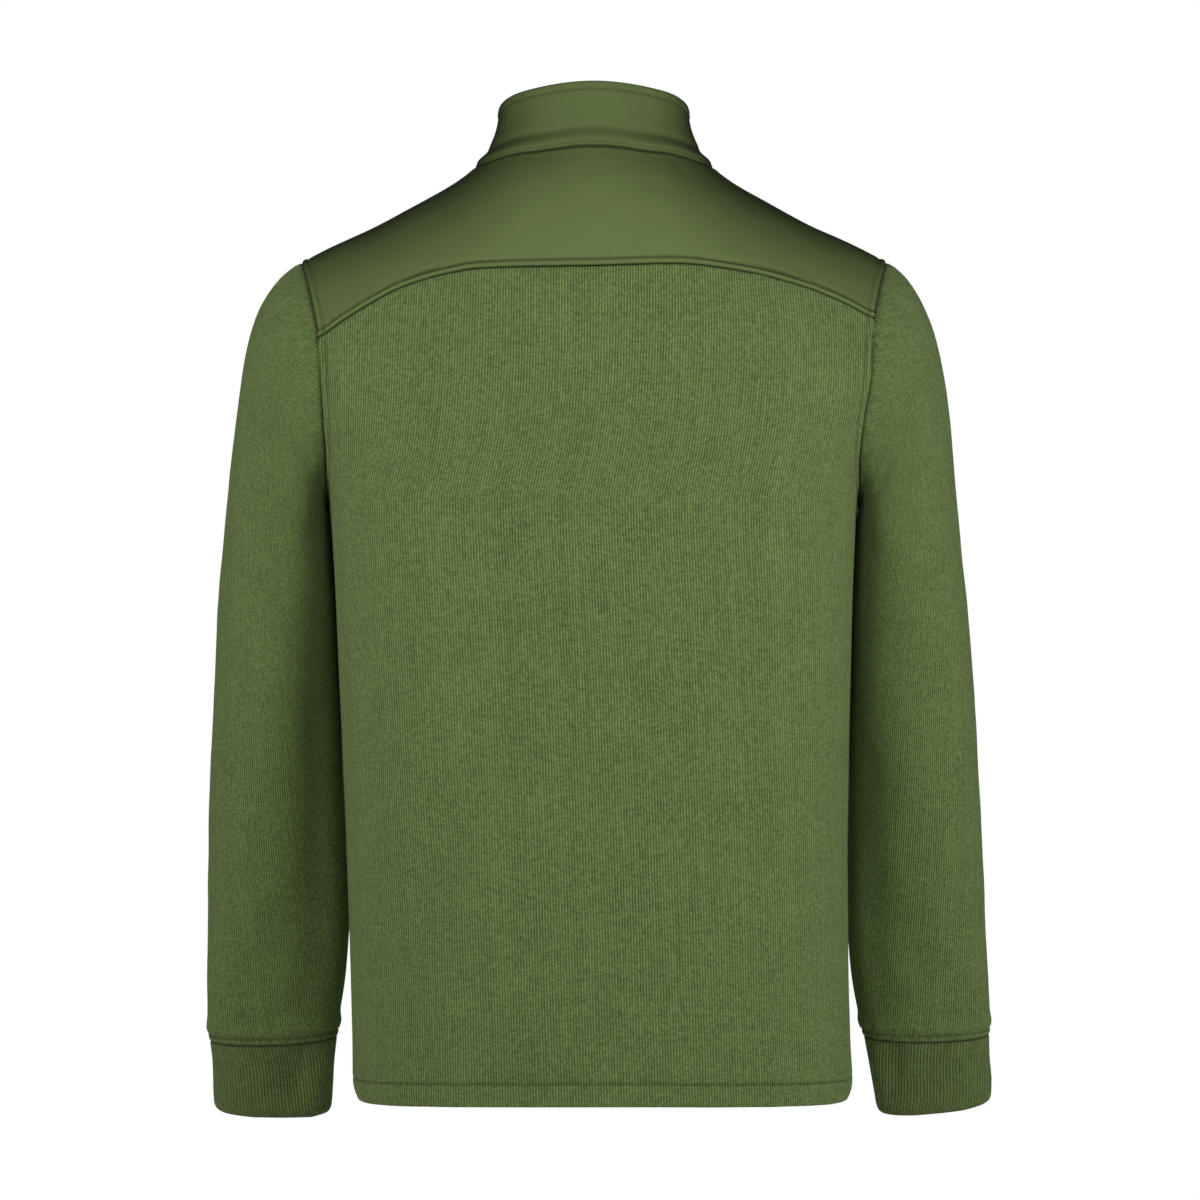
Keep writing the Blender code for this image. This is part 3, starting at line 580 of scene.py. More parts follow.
def thicken(outer, ways, thickness):
    """The inner face of a wall."""
    return [[point - way * thickness for point, way in zip(row, way_row)]
            for row, way_row in zip(outer, ways)]


def round_edge(outer, inner, form, edge_row, radius):
    """Round the free edge of a wall, from the distance between each point of its form and the edge."""
    for row, points in enumerate(form):
        for column, point in enumerate(points):
            distance = (point - form[edge_row][column]).length
            if distance < radius:
                inset = radius - math.sqrt(radius ** 2 - (radius - distance) ** 2)
                way = (inner[row][column] - outer[row][column]).normalized()
                outer[row][column] += way * inset
                inner[row][column] -= way * inset


def cloth_coordinates(outer, level=False):
    """The cloth's own coordinates in metres: across from its middle column, and along its columns.
    Where level is true, the body's rows are measured without their rise and fall."""
    columns = len(outer[0])
    middle = min(range(columns), key=lambda column: abs(outer[0][column].x)) if level else columns // 2
    flat = (1, 1, 0) if level else (1, 1, 1)
    coordinates = [[None] * columns for _ in outer]
    for row, points in enumerate(outer):
        reach = [0.0] * columns
        for column in range(middle + 1, columns):
            step = points[column] - points[column - 1]
            reach[column] = reach[column - 1] + Vector(a * b for a, b in zip(step, flat)).length
        for column in range(middle - 1, -1, -1):
            step = points[column] - points[column + 1]
            reach[column] = reach[column + 1] - Vector(a * b for a, b in zip(step, flat)).length
        for column in range(columns):
            if row == 0:
                along = points[column].z if level else 0.0
            else:
                along = coordinates[row - 1][column][1] / MM
                step = points[column] - outer[row - 1][column]
                along += math.hypot(step.y, step.z) if level else step.length
            coordinates[row][column] = (reach[column] * MM, along * MM)
    return coordinates


def cloth_shell(name, outer, inner, coordinates, lights, material, holes=()):
    """A closed skin between an outer and an inner grid of points. Cells in holes are left open."""
    mesh = bpy.data.meshes.new(name)
    shape = bmesh.new()
    uv_layer = shape.loops.layers.uv.new("cloth")
    # Painted shade: the share of light left beside seams, stored on the outer points and multiplied into the
    # colour
    light_layer = shape.verts.layers.float.new("painted_seam_light")
    outside = [[shape.verts.new(point * MM) for point in row] for row in outer]
    inside = [[shape.verts.new(point * MM) for point in row] for row in inner]
    for vert_row, inner_row, light_row in zip(outside, inside, lights):
        for vert, inner_vert, light in zip(vert_row, inner_row, light_row):
            vert[light_layer] = light
            inner_vert[light_layer] = 1.0
    edge_uses = {}
    for row in range(len(outer) - 1):
        for column in range(len(outer[0]) - 1):
            if (row, column) in holes:
                continue
            corners = [(row, column), (row, column + 1), (row + 1, column + 1), (row + 1, column)]
            front_face = shape.faces.new([outside[r][c] for r, c in corners])
            back_face = shape.faces.new([inside[r][c] for r, c in reversed(corners)])
            for loop, (r, c) in zip(front_face.loops, corners):
                loop[uv_layer].uv = coordinates[r][c]
            for loop, (r, c) in zip(back_face.loops, reversed(corners)):
                loop[uv_layer].uv = coordinates[r][c]
            for start, end in zip(corners, corners[1:] + corners[:1]):
                edge_uses.setdefault(frozenset((start, end)), []).append((start, end))
    for uses in edge_uses.values():
        if len(uses) == 1:
            (row_a, column_a), (row_b, column_b) = uses[0]
            rim = shape.faces.new((outside[row_b][column_b], outside[row_a][column_a],
                                   inside[row_a][column_a], inside[row_b][column_b]))
            places = ((row_b, column_b), (row_a, column_a), (row_a, column_a), (row_b, column_b))
            for loop, (r, c) in zip(rim.loops, places):
                loop[uv_layer].uv = coordinates[r][c]
    loose = [vert for vert in shape.verts if not vert.link_faces]
    bmesh.ops.delete(shape, geom=loose, context="VERTS")
    bmesh.ops.recalc_face_normals(shape, faces=shape.faces)
    shape.to_mesh(mesh)
    shape.free()
    mesh.shade_smooth()
    mesh.materials.append(material)
    piece = bpy.data.objects.new(name, mesh)
    scene.collection.objects.link(piece)
    return piece


def connect(tree, node, inputs):
    """Set a node's inputs, given by name or number, to values or link them to sockets."""
    for key, value in inputs.items():
        if isinstance(value, bpy.types.NodeSocket):
            tree.links.new(value, node.inputs[key])
        else:
            node.inputs[key].default_value = value


def wire(tree, kind, inputs, **settings):
    """A new shader node with its settings and its inputs."""
    node = tree.nodes.new(kind)
    for key, value in settings.items():
        setattr(node, key, value)
    connect(tree, node, inputs)
    return node


def arithmetic(tree, operation, *values):
    return wire(tree, "ShaderNodeMath", dict(enumerate(values)), operation=operation).outputs[0]


def mix_colors(tree, factor, first, second, blend="MIX"):
    """Two colors mixed, each given as three numbers or as a socket."""
    inputs = {"Factor": factor}
    for socket, color in ((6, first), (7, second)):
        inputs[socket] = color if isinstance(color, bpy.types.NodeSocket) else (*color, 1.0)
    return wire(tree, "ShaderNodeMix", inputs, data_type="RGBA", blend_type=blend).outputs[2]


def bump(tree, strength, distance, height):
    inputs = {"Strength": strength, "Distance": distance, "Height": height}
    return wire(tree, "ShaderNodeBump", inputs).outputs["Normal"]


def new_material(name):
    """An empty material: itself, its node tree and the coordinates of the piece that it is on."""
    material = bpy.data.materials.new(name)
    material.use_nodes = True
    tree = material.node_tree
    return material, tree, tree.nodes.new("ShaderNodeTexCoord").outputs["Object"]


def set_shader(tree, inputs):
    """Give a material's shader its inputs."""
    connect(tree, tree.nodes["Principled BSDF"], inputs)


def new_group(name, inputs, outputs):
    """A shader node group with its sockets, and the nodes at its two ends."""
    group = bpy.data.node_groups.new(name, "ShaderNodeTree")
    for label, kind in inputs:
        group.interface.new_socket(label, in_out="INPUT", socket_type=kind)
    for label, kind in outputs:
        group.interface.new_socket(label, in_out="OUTPUT", socket_type=kind)
    source = group.nodes.new("NodeGroupInput")
    target = group.nodes.new("NodeGroupOutput")
    return group, source, target


def ribbed_knit_group():
    """Columns of loops: how high the yarn stands, and how light it looks, with painted shade in the
    furrows and random tones of the fibres.
    """
    group, source, target = new_group(
        "ribbed_knit",
        [("Cloth", "NodeSocketVector"), ("Wale", "NodeSocketFloat"), ("Course", "NodeSocketFloat")],
        [("Height", "NodeSocketFloat"), ("Shade", "NodeSocketFloat")])
    calc = functools.partial(arithmetic, group)
    cloth = source.outputs["Cloth"]
    wander = wire(group, "ShaderNodeTexNoise", {"Vector": cloth, "Scale": 90.0, "Detail": 2.0})
    drift = calc("MULTIPLY_ADD", wander.outputs["Fac"], 0.9, -0.45)
    split = wire(group, "ShaderNodeSeparateXYZ", {"Vector": cloth})

    # Across the ribs: a column of loops is highest in its middle and falls to a furrow on each side
    column_number = calc("DIVIDE", split.outputs["X"], source.outputs["Wale"])
    column_number = calc("MULTIPLY_ADD", drift, 0.5, column_number)
    from_middle = calc("ABSOLUTE", calc("MULTIPLY_ADD", calc("FRACT", column_number), 2.0, -1.0))
    column = calc("MULTIPLY_ADD", calc("COSINE", calc("MULTIPLY", from_middle, math.pi)), 0.5, 0.5)

    # Along the ribs: each loop is round, and its two legs slant away from the middle of its column
    row_number = calc("ADD", calc("DIVIDE", split.outputs["Y"], source.outputs["Course"]), drift)
    row_number = calc("MULTIPLY_ADD", from_middle, 0.4, row_number)
    from_crown = calc("ABSOLUTE", calc("MULTIPLY_ADD", calc("FRACT", row_number), 2.0, -1.0))
    loop = calc("SUBTRACT", 1.0, calc("POWER", from_crown, 2.0))
    height = calc("MULTIPLY", column, calc("MULTIPLY_ADD", loop, 0.55, 0.45))

    # The yarn is spun from lighter and darker fibres, so loops and columns differ in shade
    cell = wire(group, "ShaderNodeCombineXYZ", {"X": calc("FLOOR", column_number),
                                                "Y": calc("FLOOR", row_number)})
    each_loop = wire(group, "ShaderNodeTexWhiteNoise", {"Vector": cell.outputs["Vector"]})
    each_column = wire(group, "ShaderNodeTexWhiteNoise", {"W": calc("FLOOR", column_number)},
                       noise_dimensions="1D")
    # Painted shade: the lower the yarn stands, the darker its colour, so the furrows between columns are dark
    shade = calc("MULTIPLY_ADD", height, 0.78, -0.01)
    shade = calc("MULTIPLY_ADD", each_loop.outputs["Value"], 0.33, shade)
    shade = calc("MULTIPLY_ADD", each_column.outputs["Value"], 0.08, shade)
    connect(group, target, {"Height": height, "Shade": shade})
    return group


def cloth_tone_group():
    """Fibres, and the broad unevenness of dyed cloth, as a value round one half."""
    group, source, target = new_group(
        "cloth_tone", [("Object", "NodeSocketVector")], [("Tone", "NodeSocketFloat")])
    place = source.outputs["Object"]
    fibres = wire(group, "ShaderNodeTexNoise",
                  {"Vector": place, "Scale": 1400.0, "Detail": 3.0, "Roughness": 0.7})
    clouds = wire(group, "ShaderNodeTexNoise",
                  {"Vector": place, "Scale": 28.0, "Detail": 4.0, "Roughness": 0.6})
    tone = arithmetic(group, "MULTIPLY", fibres.outputs["Fac"], 0.65)
    tone = arithmetic(group, "MULTIPLY_ADD", clouds.outputs["Fac"], 0.35, tone)
    connect(group, target, {"Tone": tone})
    return group


RIBBED_KNIT = ribbed_knit_group()
CLOTH_TONE = cloth_tone_group()


def paint_seam_shade(tree, color):
    """The color with painted shade: darker where the cloth turns down into a seam or a row of stitches."""
    left = wire(tree, "ShaderNodeAttribute", {}, attribute_name="painted_seam_light")
    return mix_colors(tree, 1.0, color, left.outputs["Fac"], "MULTIPLY")


def knit_material(name, dark, light, wale, course):
    """Knit with fine ribs, in a dark and a light green: the dark one is the painted shade of the
    furrows, mixed with random tones of the fibres and the dye. A wale is one rib's width and a course
    is one row of loops."""
    material, tree, place = new_material(name)
    cloth = wire(tree, "ShaderNodeUVMap", {}, uv_map="cloth")
    knit = wire(tree, "ShaderNodeGroup", {"Cloth": cloth.outputs["UV"], "Wale": wale * MM,
                                          "Course": course * MM}, node_tree=RIBBED_KNIT)
    tone = wire(tree, "ShaderNodeGroup", {"Object": place}, node_tree=CLOTH_TONE)
    mixed = arithmetic(tree, "MULTIPLY_ADD", tone.outputs["Tone"], 0.5, -0.25)
    mixed = arithmetic(tree, "ADD", mixed, knit.outputs["Shade"])
    set_shader(tree, {
        "Base Color": paint_seam_shade(tree, mix_colors(tree, mixed, dark, light)),
        "Normal": bump(tree, 0.6, 0.9 * MM, knit.outputs["Height"]),
        "Roughness": 0.92,
        "Specular IOR Level": 0.22,
        "Sheen Weight": 0.15,
        "Sheen Roughness": 0.6,
        "Sheen Tint": (0.62, 0.72, 0.46, 1.0)})
    return material


rib_knit = knit_material("rib_knit", (0.033, 0.049, 0.014), (0.222, 0.330, 0.098), 2.05, 1.46)


def armhole_line(arm, start, end, steps=160):
    turns = [turn % (2 * math.pi) for turn in between(start, end, steps)]
    return [body_point(*armhole_place(turn, arm)) for turn in turns]


back_tops = [seam_place(1 - 2 * part) for part in spread(560, 4.6)]
back_outer, back_ways = body_cloth(panel_places(back_tops, BACK))


def side_line(arm, side):
    """The side seam from the hem to the underarm."""
    return [body_point(*lower_place(arm, part, side)) for part in between(0.0, 1.0, 60)]


def hem_line(side, rise):
    """A line round one panel at a height above the hem's edge."""
    part = rise / (UNDERARM_HEIGHT - HEM_LEVEL)
    return [body_point(*lower_place(share, part, side)) for share in between(1.0, -1.0, 240)]


# The stitches of the hem press the cloth down and draw it into small puckers
hem_stitching = seam_style([(0, 1.1, 0.85)], [(0, 0.8, 0.5)], (0, 7, 0.22, 2.6, 3.1, 37))

# Cloth that goes under the folded edge of the yoke, with a painted shadow under that edge
lapped_under = seam_style([(0, 1.1, 1.2), (4, 2.5, -0.2)], [(0, 1.0, 0.85)])

back_seams = [
    (seam_tree([body_point(*seam_place(share)) for share in between(1.0, -1.0, 240)]), lapped_under),
    (seam_tree(hem_line(BACK, HEM_HEIGHT)), hem_stitching),
]
for arm in (LEFT, RIGHT):
    armhole = armhole_line(arm, back_corner_turn(arm), math.pi)
    back_seams.append((seam_tree(armhole), stitched_edge))
    back_seams.append((seam_tree(side_line(arm, BACK)), plain_edge))


def panel_shell(name, outer, ways, seams, material, holes=()):
    """A body panel with its seams pressed in and its hem turned up."""
    pressed, lights = press(outer, ways, seams)
    inner = []
    for part, row, way_row in zip(hem_parts() + [1.0] * len(UPPER_PARTS[1:]), outer, ways):
        turned = part * (UNDERARM_HEIGHT - HEM_LEVEL) < HEM_HEIGHT + 1
        thickness = HEM_THICKNESS if turned else KNIT_THICKNESS
        inner.append([point - way * (thickness + unevenness(point)) for point, way in zip(row, way_row)])
    round_edge(pressed, inner, outer, 0, HEM_ROUNDING)
    coordinates = cloth_coordinates(outer, level=True)
    pressed = pull_in(pressed, rows=(False, True))
    inner = pull_in(inner, rows=(False, True))
    return cloth_shell(name, pressed, inner, coordinates, lights, material, holes)


back = panel_shell("back_cloth", back_outer, back_ways, back_seams, rib_knit)
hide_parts("back")
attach(back, "garment")


# ---- Yoke ----
# One piece of smooth brushed cloth that lies over both shoulders and the top of the back. Its lower
# edge laps the back panel, and two rows of thread run just inside its seams.
YOKE_WALL = 2.5
NECK_HALF_WIDTH = 89.0
NECK_BACK = 75.0
NECK_FRONT = 93.0
YOKE_CORNER_TURN = math.radians(60)


def turn_at(across, height, side):
    """The angle round the shoulder: 0 low on the back, a right angle on the shoulder line."""
    reach = rounding(across, side)
    rise = min(max((height - shoulder_height(across) + reach) / reach, 0.0), 1.0)
    return math.asin(rise) if side == BACK else math.pi - math.asin(rise)


def place_of_turn(across, turn):
    """The height and the side that belong to an angle round the shoulder."""
    side = BACK if turn <= math.pi / 2 else FRONT
    reach = rounding(across, side)
    return shoulder_height(across) - reach + reach * math.sin(turn), side


def height_at_depth(across, depth, side):
    """The height at which the cloth lies this far behind or in front of the shoulder line."""
    high = shoulder_height(across)
    low = high - rounding(across, side)
    for _ in range(30):
        middle = (low + high) / 2
        if body_depth(across, middle, side) > depth:
            low = middle
        else:
            high = middle
    return (low + high) / 2


def neck_place(turn):
    """The neck seam at an angle from the middle of the back: across, height and side."""
    side = BACK if math.cos(turn) >= 0 else FRONT
    reach = NECK_BACK if side == BACK else NECK_FRONT
    across = NECK_HALF_WIDTH * math.sin(turn)
    return across, height_at_depth(across, reach * abs(math.cos(turn)), side), side


YOKE_NECK_TURN = math.pi - math.acos(YOKE_FRONT_REACH / NECK_FRONT)


def yoke_places():
    """The yoke's grid: each line runs from the neck seam to the outer edge, and the lines go from
    its left front edge over the left shoulder, the back and the right shoulder."""
    outer = []
    inner = []
    for arm in (LEFT, RIGHT):
        start = front_corner_turn(arm) - 2 * math.pi
        end = back_corner_turn(arm)
        parts = spread(130, 3.6)
        turns = [start + (end - start) * part for part in parts]
        arm_outer = [armhole_place(turn % (2 * math.pi), arm) for turn in turns]
        arm_inner = [arm * (YOKE_NECK_TURN + (YOKE_CORNER_TURN - YOKE_NECK_TURN) * part) for part in parts]
        if arm == RIGHT:
            arm_outer.reverse()
            arm_inner.reverse()
            shares = [1 - 2 * part for part in spread(470, 4.4)]
            outer += [seam_place(share) for share in shares[1:-1]]
            inner += [YOKE_CORNER_TURN * share for share in shares[1:-1]]
        outer += arm_outer
        inner += arm_inner
    lines = []
    for neck_turn, (outer_x, outer_z, outer_side) in zip(inner, outer):
        inner_x, inner_z, inner_side = neck_place(neck_turn)
        inner_angle = turn_at(inner_x, inner_z, inner_side)
        outer_angle = turn_at(outer_x, outer_z, outer_side)
        line = []
        for part in spread(115, 4.2):
            across = inner_x + (outer_x - inner_x) * part
            height, side = place_of_turn(across, inner_angle + (outer_angle - inner_angle) * part)
            line.append((across, height, side))
        lines.append(line)
    return lines


def brushed_material(name, dark, light, painted_falloff):
    """Smooth cloth. Where asked, painted shade darkens it as it turns away from the camera, as on the
    tops of the shoulders.
    """
    material, tree, place = new_material(name)
    tone = wire(tree, "ShaderNodeGroup", {"Object": place}, node_tree=CLOTH_TONE)
    color = mix_colors(tree, tone.outputs["Tone"], dark, light)
    if painted_falloff:
        # Painted shade: the colour darkens as the cloth turns away from the camera
        view = wire(tree, "ShaderNodeLayerWeight", {"Blend": 0.5})
        shadow = wire(tree, "ShaderNodeMapRange", {
            "Value": view.outputs["Facing"],
            "From Min": 0.18,
            "From Max": 0.88,
            "To Min": 1.0,
            "To Max": 0.14})
        color = paint_seam_shade(tree, mix_colors(tree, 1.0, color, shadow.outputs["Result"], "MULTIPLY"))
    set_shader(tree, {
        "Base Color": color,
        "Normal": bump(tree, 0.25, 0.4 * MM, tone.outputs["Tone"]),
        "Roughness": 0.90,
        "Specular IOR Level": 0.20})
    return material


smooth_cloth = brushed_material("smooth_cloth", (0.108, 0.152, 0.046), (0.174, 0.234, 0.080), True)

# A folded edge that stands a little above the cloth below, held down by its stitches
YOKE_STITCHES = 5.5
lapped_edge = seam_style(
    [(0, 0.6, 1.5), (YOKE_STITCHES * 0.4, 2.0, -1.2), (YOKE_STITCHES, 0.9, 0.6)],
    [(0, 0.5, 0.85), (YOKE_STITCHES, 0.6, 0.5)],
    (YOKE_STITCHES * 0.4, 1.414, -0.16, 2.0, 2.0, 11))

yoke_outer, yoke_ways = body_cloth(yoke_places())
yoke_seam_line = [body_point(*seam_place(share)) for share in between(1.0, -1.0, 300)]
neck_line = [body_point(*neck_place(turn)) for turn in between(-YOKE_NECK_TURN, YOKE_NECK_TURN, 240)]
yoke_seams = [(seam_tree(yoke_seam_line), lapped_edge), (seam_tree(neck_line), plain_edge)]
for arm in (LEFT, RIGHT):
    armhole = armhole_line(arm, front_corner_turn(arm) - 2 * math.pi, back_corner_turn(arm), 120)
    yoke_seams.append((seam_tree(armhole), stitched_edge))
yoke_seams += [(seam_tree(yoke_outer[edge]), plain_edge) for edge in (0, -1)]
yoke_pressed, yoke_lights = press(yoke_outer, yoke_ways, yoke_seams)
yoke_inner = pull_in(thicken(yoke_outer, yoke_ways, YOKE_WALL))
yoke = cloth_shell("yoke_cloth", pull_in(yoke_pressed), yoke_inner, cloth_coordinates(yoke_outer),
                   yoke_lights, smooth_cloth)
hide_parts("yoke")
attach(yoke, "garment")


# ---- Front ----
# One panel of the same knit, slit down the middle for the zip, whose edges are turned back and sewn
# to its tapes. It hangs from the yoke's front edges and the collar.
SLIT_HALF_WIDTH = 2.9
SLIT_TURN = math.pi - math.asin(SLIT_HALF_WIDTH / NECK_HALF_WIDTH)


def neck_front_turns(arm):
    """The angles of the neck seam from the yoke's front edge to the zip's slit."""
    return [arm * (YOKE_NECK_TURN + (SLIT_TURN - YOKE_NECK_TURN) * part) for part in spread(86, 4)]


yoke_lines = yoke_places()
left_neck = [neck_place(turn) for turn in neck_front_turns(LEFT)]
right_neck = [neck_place(turn) for turn in reversed(neck_front_turns(RIGHT))]
left_seam = list(reversed(yoke_lines[0]))
front_tops = left_seam + left_neck[1:] + right_neck[:-1] + yoke_lines[-1]
front_places = panel_places(front_tops, FRONT)
slit_column = len(left_seam) + len(left_neck) - 2
for row in front_places:
    for column, arm in ((slit_column, LEFT), (slit_column + 1, RIGHT)):
        height = row[column][1]
        lean = TORSO["lean"](height) if height < UNDERARM_HEIGHT else 0.0
        row[column] = (arm * SLIT_HALF_WIDTH + lean, height, FRONT)
slit_rows = [row for row in range(len(front_places) - 1)
             if front_places[row][slit_column][1] >= UNDERARM_HEIGHT - 0.01]
front_outer, front_ways = body_cloth(front_places)

# Cloth turned back beside the zip and held by stitches
slit_edge = seam_style([(0, 0.8, 0.5), (STITCH_MARGIN, 1.0, 0.45)], [(STITCH_MARGIN, 0.55, 0.4)])

front_seams = [(seam_tree(hem_line(FRONT, HEM_HEIGHT)), hem_stitching)]
for arm in (LEFT, RIGHT):
    armhole = armhole_line(arm, math.pi, front_corner_turn(arm))
    slit = [front_outer[row][slit_column + (arm == RIGHT)] for row in slit_rows]
    front_seams.append((seam_tree(armhole), stitched_edge))
    front_seams.append((seam_tree(side_line(arm, FRONT)), plain_edge))
    front_seams.append((seam_tree(slit), slit_edge))
    neck = [body_point(*neck_place(turn)) for turn in neck_front_turns(arm)]
    front_seams.append((seam_tree(neck), plain_edge))
front_seams += [(seam_tree(yoke_outer[edge]), plain_edge) for edge in (0, -1)]
front = panel_shell("front_cloth", front_outer, front_ways, front_seams, rib_knit,
                    [(row, slit_column) for row in slit_rows])
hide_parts("front")
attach(front, "garment")


# ---- Sleeves ----
# Two tubes of the same knit with the wales running down the arm, set into the armholes and each
# closed by one seam under the arm.
WRIST_RING = (-659, 292.5, 300.7, -655.5, 195.8, 205.5, -55, 27, 4, 5)

# Rings down the sleeves. Each has the height of its outer and its inner side and their distances from
# the body's middle on each arm, how far forward its middle lies, half its depth, how far its back
# hangs below its middle, and how much higher its outer side is on the right arm.
SLEEVE = table(
    "ring outer_height left_outer right_outer inner_height left_inner right_inner middle depth drop lift",
    (0, -71, 219.0, 219.0, -250, 197.8, 196.8, 0, 80, 0, 0),
    (1, -80, 232.0, 231.5, -256, 200.0, 199.5, -1, 80, 0, 0),
    (2, -94, 244.0, 242.0, -263, 197.9, 197.5, -3, 80, 0, 0),
    (3, -114, 254.0, 251.5, -273, 196.8, 196.0, -5, 79, 0, 0),
    (4, -141, 261.8, 259.8, -288, 195.6, 194.6, -8, 77, 0, 0),
    (5, -176, 267.5, 266.0, -308, 194.2, 193.4, -12, 74, 0, 0),
    (6, -222, 273.2, 270.5, -335, 192.6, 192.5, -17, 71, 0, 0),
    (7, -278, 279.3, 276.2, -370, 191.5, 192.1, -23, 67, 0, 0),
    (8, -340, 284.7, 283.0, -410, 190.2, 191.9, -29, 62, 0, 0),
    (9, -405, 288.0, 288.6, -455, 188.9, 192.2, -36, 56, 0, 0),
    (10, -470, 291.5, 292.3, -505, 187.0, 191.7, -42, 50, 0, 0),
    (11, -535, 293.3, 296.0, -555, 185.8, 192.0, -47, 43, 1, 0),
    (12, -592, 294.0, 298.5, -603, 188.6, 195.2, -51, 36, 2, 2),
    (13, -638, 294.5, 301.0, -637, 193.4, 201.0, -54, 30, 3, 4),
    (14, *WRIST_RING),
)
SLEEVE_WALL = 2.3
SLEEVE_RINGS = 14
LAST_RING_LENGTH = 21.0
CAP_RINGS = 4.0
RIM_RINGS = 0.5
RING_SQUARENESS = 2.15

# The folds are measured on a plain tube of this radius, with this length from ring to ring
FOLD_RADIUS = 60.0
FOLD_RING = 42.0
SLEEVE_FOLDS = (
    # side, from angle, from ring, to angle, to ring, half width, depth
    (LEFT, 130, 1.5, 80, 5.0, 16, 3.0),
    (RIGHT, 130, 1.5, 85, 5.5, 16, 3.0),
    (LEFT, 95, 6.5, 50, 9.0, 18, 2.5),
    (RIGHT, 105, 7.0, 60, 9.5, 18, 2.5),
    (LEFT, 250, 4.5, 290, 8.5, 18, 3.0),
    (RIGHT, 255, 5.0, 300, 9.0, 18, 3.0),
    (LEFT, 110, 11.0, 60, 12.8, 14, 2.0),
    (RIGHT, 115, 11.0, 70, 12.8, 14, 2.0),
    (LEFT, 140, 6.5, 122, 12.9, 22, 6.5),
    (RIGHT, 140, 8.5, 126, 12.9, 20, 4.0),
    (RIGHT, 128, 3.0, 96, 3.9, 12, 1.8),
    # The finer ones
    (LEFT, 150, 3.2, 112, 5.4, 10, 1.3),
    (RIGHT, 152, 3.6, 116, 5.8, 10, 1.3),
    (LEFT, 150, 8.0, 118, 8.9, 9, 1.5),
    (RIGHT, 154, 8.4, 120, 9.5, 10, 1.4),
    (LEFT, 76, 10.0, 44, 11.2, 11, -1.2),
    (RIGHT, 84, 9.8, 52, 11.2, 11, -1.2),
    (LEFT, 120, 12.6, 78, 13.3, 7, 1.4),
    (RIGHT, 112, 12.5, 66, 13.4, 7, 1.3),
    (LEFT, 66, 12.9, 30, 13.5, 7, -1.1),
    (RIGHT, 52, 12.8, 20, 13.4, 7, -1.1),
    (LEFT, 262, 11.4, 300, 12.9, 11, 1.7),
    (RIGHT, 258, 11.2, 304, 12.8, 11, 1.7),
    (LEFT, 215, 8.0, 244, 9.4, 9, 1.6),
    (RIGHT, 212, 8.3, 240, 9.6, 9, 1.5),
    (LEFT, 232, 1.4, 262, 4.0, 14, 2.0),
    (RIGHT, 230, 1.4, 264, 4.2, 14, 2.0),
)


def sleeve_fold(ring, turn, arm):
    """How deep all the folds of a sleeve together press the cloth in at a place."""
    total = 0.0
    point = (turn * FOLD_RADIUS, ring * FOLD_RING)
    for fold_arm, start_turn, start_ring, end_turn, end_ring, half_width, depth in SLEEVE_FOLDS:
        if fold_arm == arm:
            start = (math.radians(start_turn) * FOLD_RADIUS, start_ring * FOLD_RING)
            end = (math.radians(end_turn) * FOLD_RADIUS, end_ring * FOLD_RING)
            distance, along = along_line(point, start, end)
            if distance < 3 * half_width:
                total += fold_depth(distance, along, half_width, depth)
    return total


def ring_point(rings, ring, turn, arm):
    """A point of a sleeve's or a cuff's ring: the angle turns from the outer side to the back."""
    name = "left" if arm == LEFT else "right"
    outer_height = rings["outer_height"](ring) + (rings["lift"](ring) if arm == RIGHT else 0.0)
    outer = Vector((arm * rings[name + "_outer"](ring), rings["middle"](ring), outer_height))
    inner = Vector((arm * rings[name + "_inner"](ring), rings["middle"](ring), rings["inner_height"](ring)))
    middle = (outer + inner) / 2
    cosine = math.cos(turn)
    sine = math.sin(turn)
    power = 2 / RING_SQUARENESS
    long_part = math.copysign(abs(cosine) ** power, cosine)
    deep_part = math.copysign(abs(sine) ** power, sine)
    point = middle + (outer - inner) / 2 * long_part
    point.y += rings["depth"](ring) * deep_part
    point.z -= rings["drop"](ring) * sine
    return point


@functools.lru_cache(maxsize=None)
def armhole_point(turn, arm):
    """A point of the armhole's seam, worked out once for all the rings that start from it."""
    return body_point(*armhole_place(turn % (2 * math.pi), arm))


def sleeve_point(ring, turn, arm):
    """A point of the sleeve, which starts exactly at the armhole."""
    point = ring_point(SLEEVE, ring, turn, arm)
    if ring < CAP_RINGS:
        share = (1 - ring / CAP_RINGS) ** 2
        point += (armhole_point(turn, arm) - ring_point(SLEEVE, 0, turn, arm)) * share
    return point


def tube_outward(point_at, ring, turn, last_ring, arm):
    """The way that a tube's cloth faces, from how it runs down and round."""
    step = 0.02
    low = max(ring - step, 0)
    high = min(ring + step, last_ring)
    down = point_at(high, turn) - point_at(low, turn)
    around = point_at(ring, turn + step) - point_at(ring, turn - step)
    return down.cross(around).normalized() * arm


def tube_turns(columns):
    """Angles once round a tube from its underarm seam, for fractions of the way round."""
    return [math.pi - 2 * math.pi * part for part in columns]


def tube_grid(point_at, rings, turns, arm, fold_at, rim_way=None):
    """The outer points of a tube, a row for each ring, and the way that each faces. At its first
    ring the cloth may be turned to face as the rim does."""
    outer = []
    ways = []
    for ring in rings:
        outer_row = []
        way_row = []
        for turn in turns:
            outward = tube_outward(point_at, ring, turn, rings[-1], arm)
            if rim_way and ring < RIM_RINGS:
                share = (1 + math.cos(turn)) / 2 * (1 - ring / RIM_RINGS)
                outward = outward.lerp(rim_way(turn), share).normalized()
            outer_row.append(point_at(ring, turn) - outward * fold_at(ring, turn))
            way_row.append(outward)
        outer.append(outer_row)
        ways.append(way_row)
    return outer, ways


def tube_coordinates(outer):
    """The cloth's coordinates, along the tube from its lower end and round from its outer line."""
    upward = cloth_coordinates(list(reversed(outer)))
    return list(reversed(upward))


# The head of a sleeve stands up a little from its seam
cap_edge = seam_style([(0, 1.2, 0.8), (6, 4.5, -0.5)], [(0, 1.1, 0.5)])

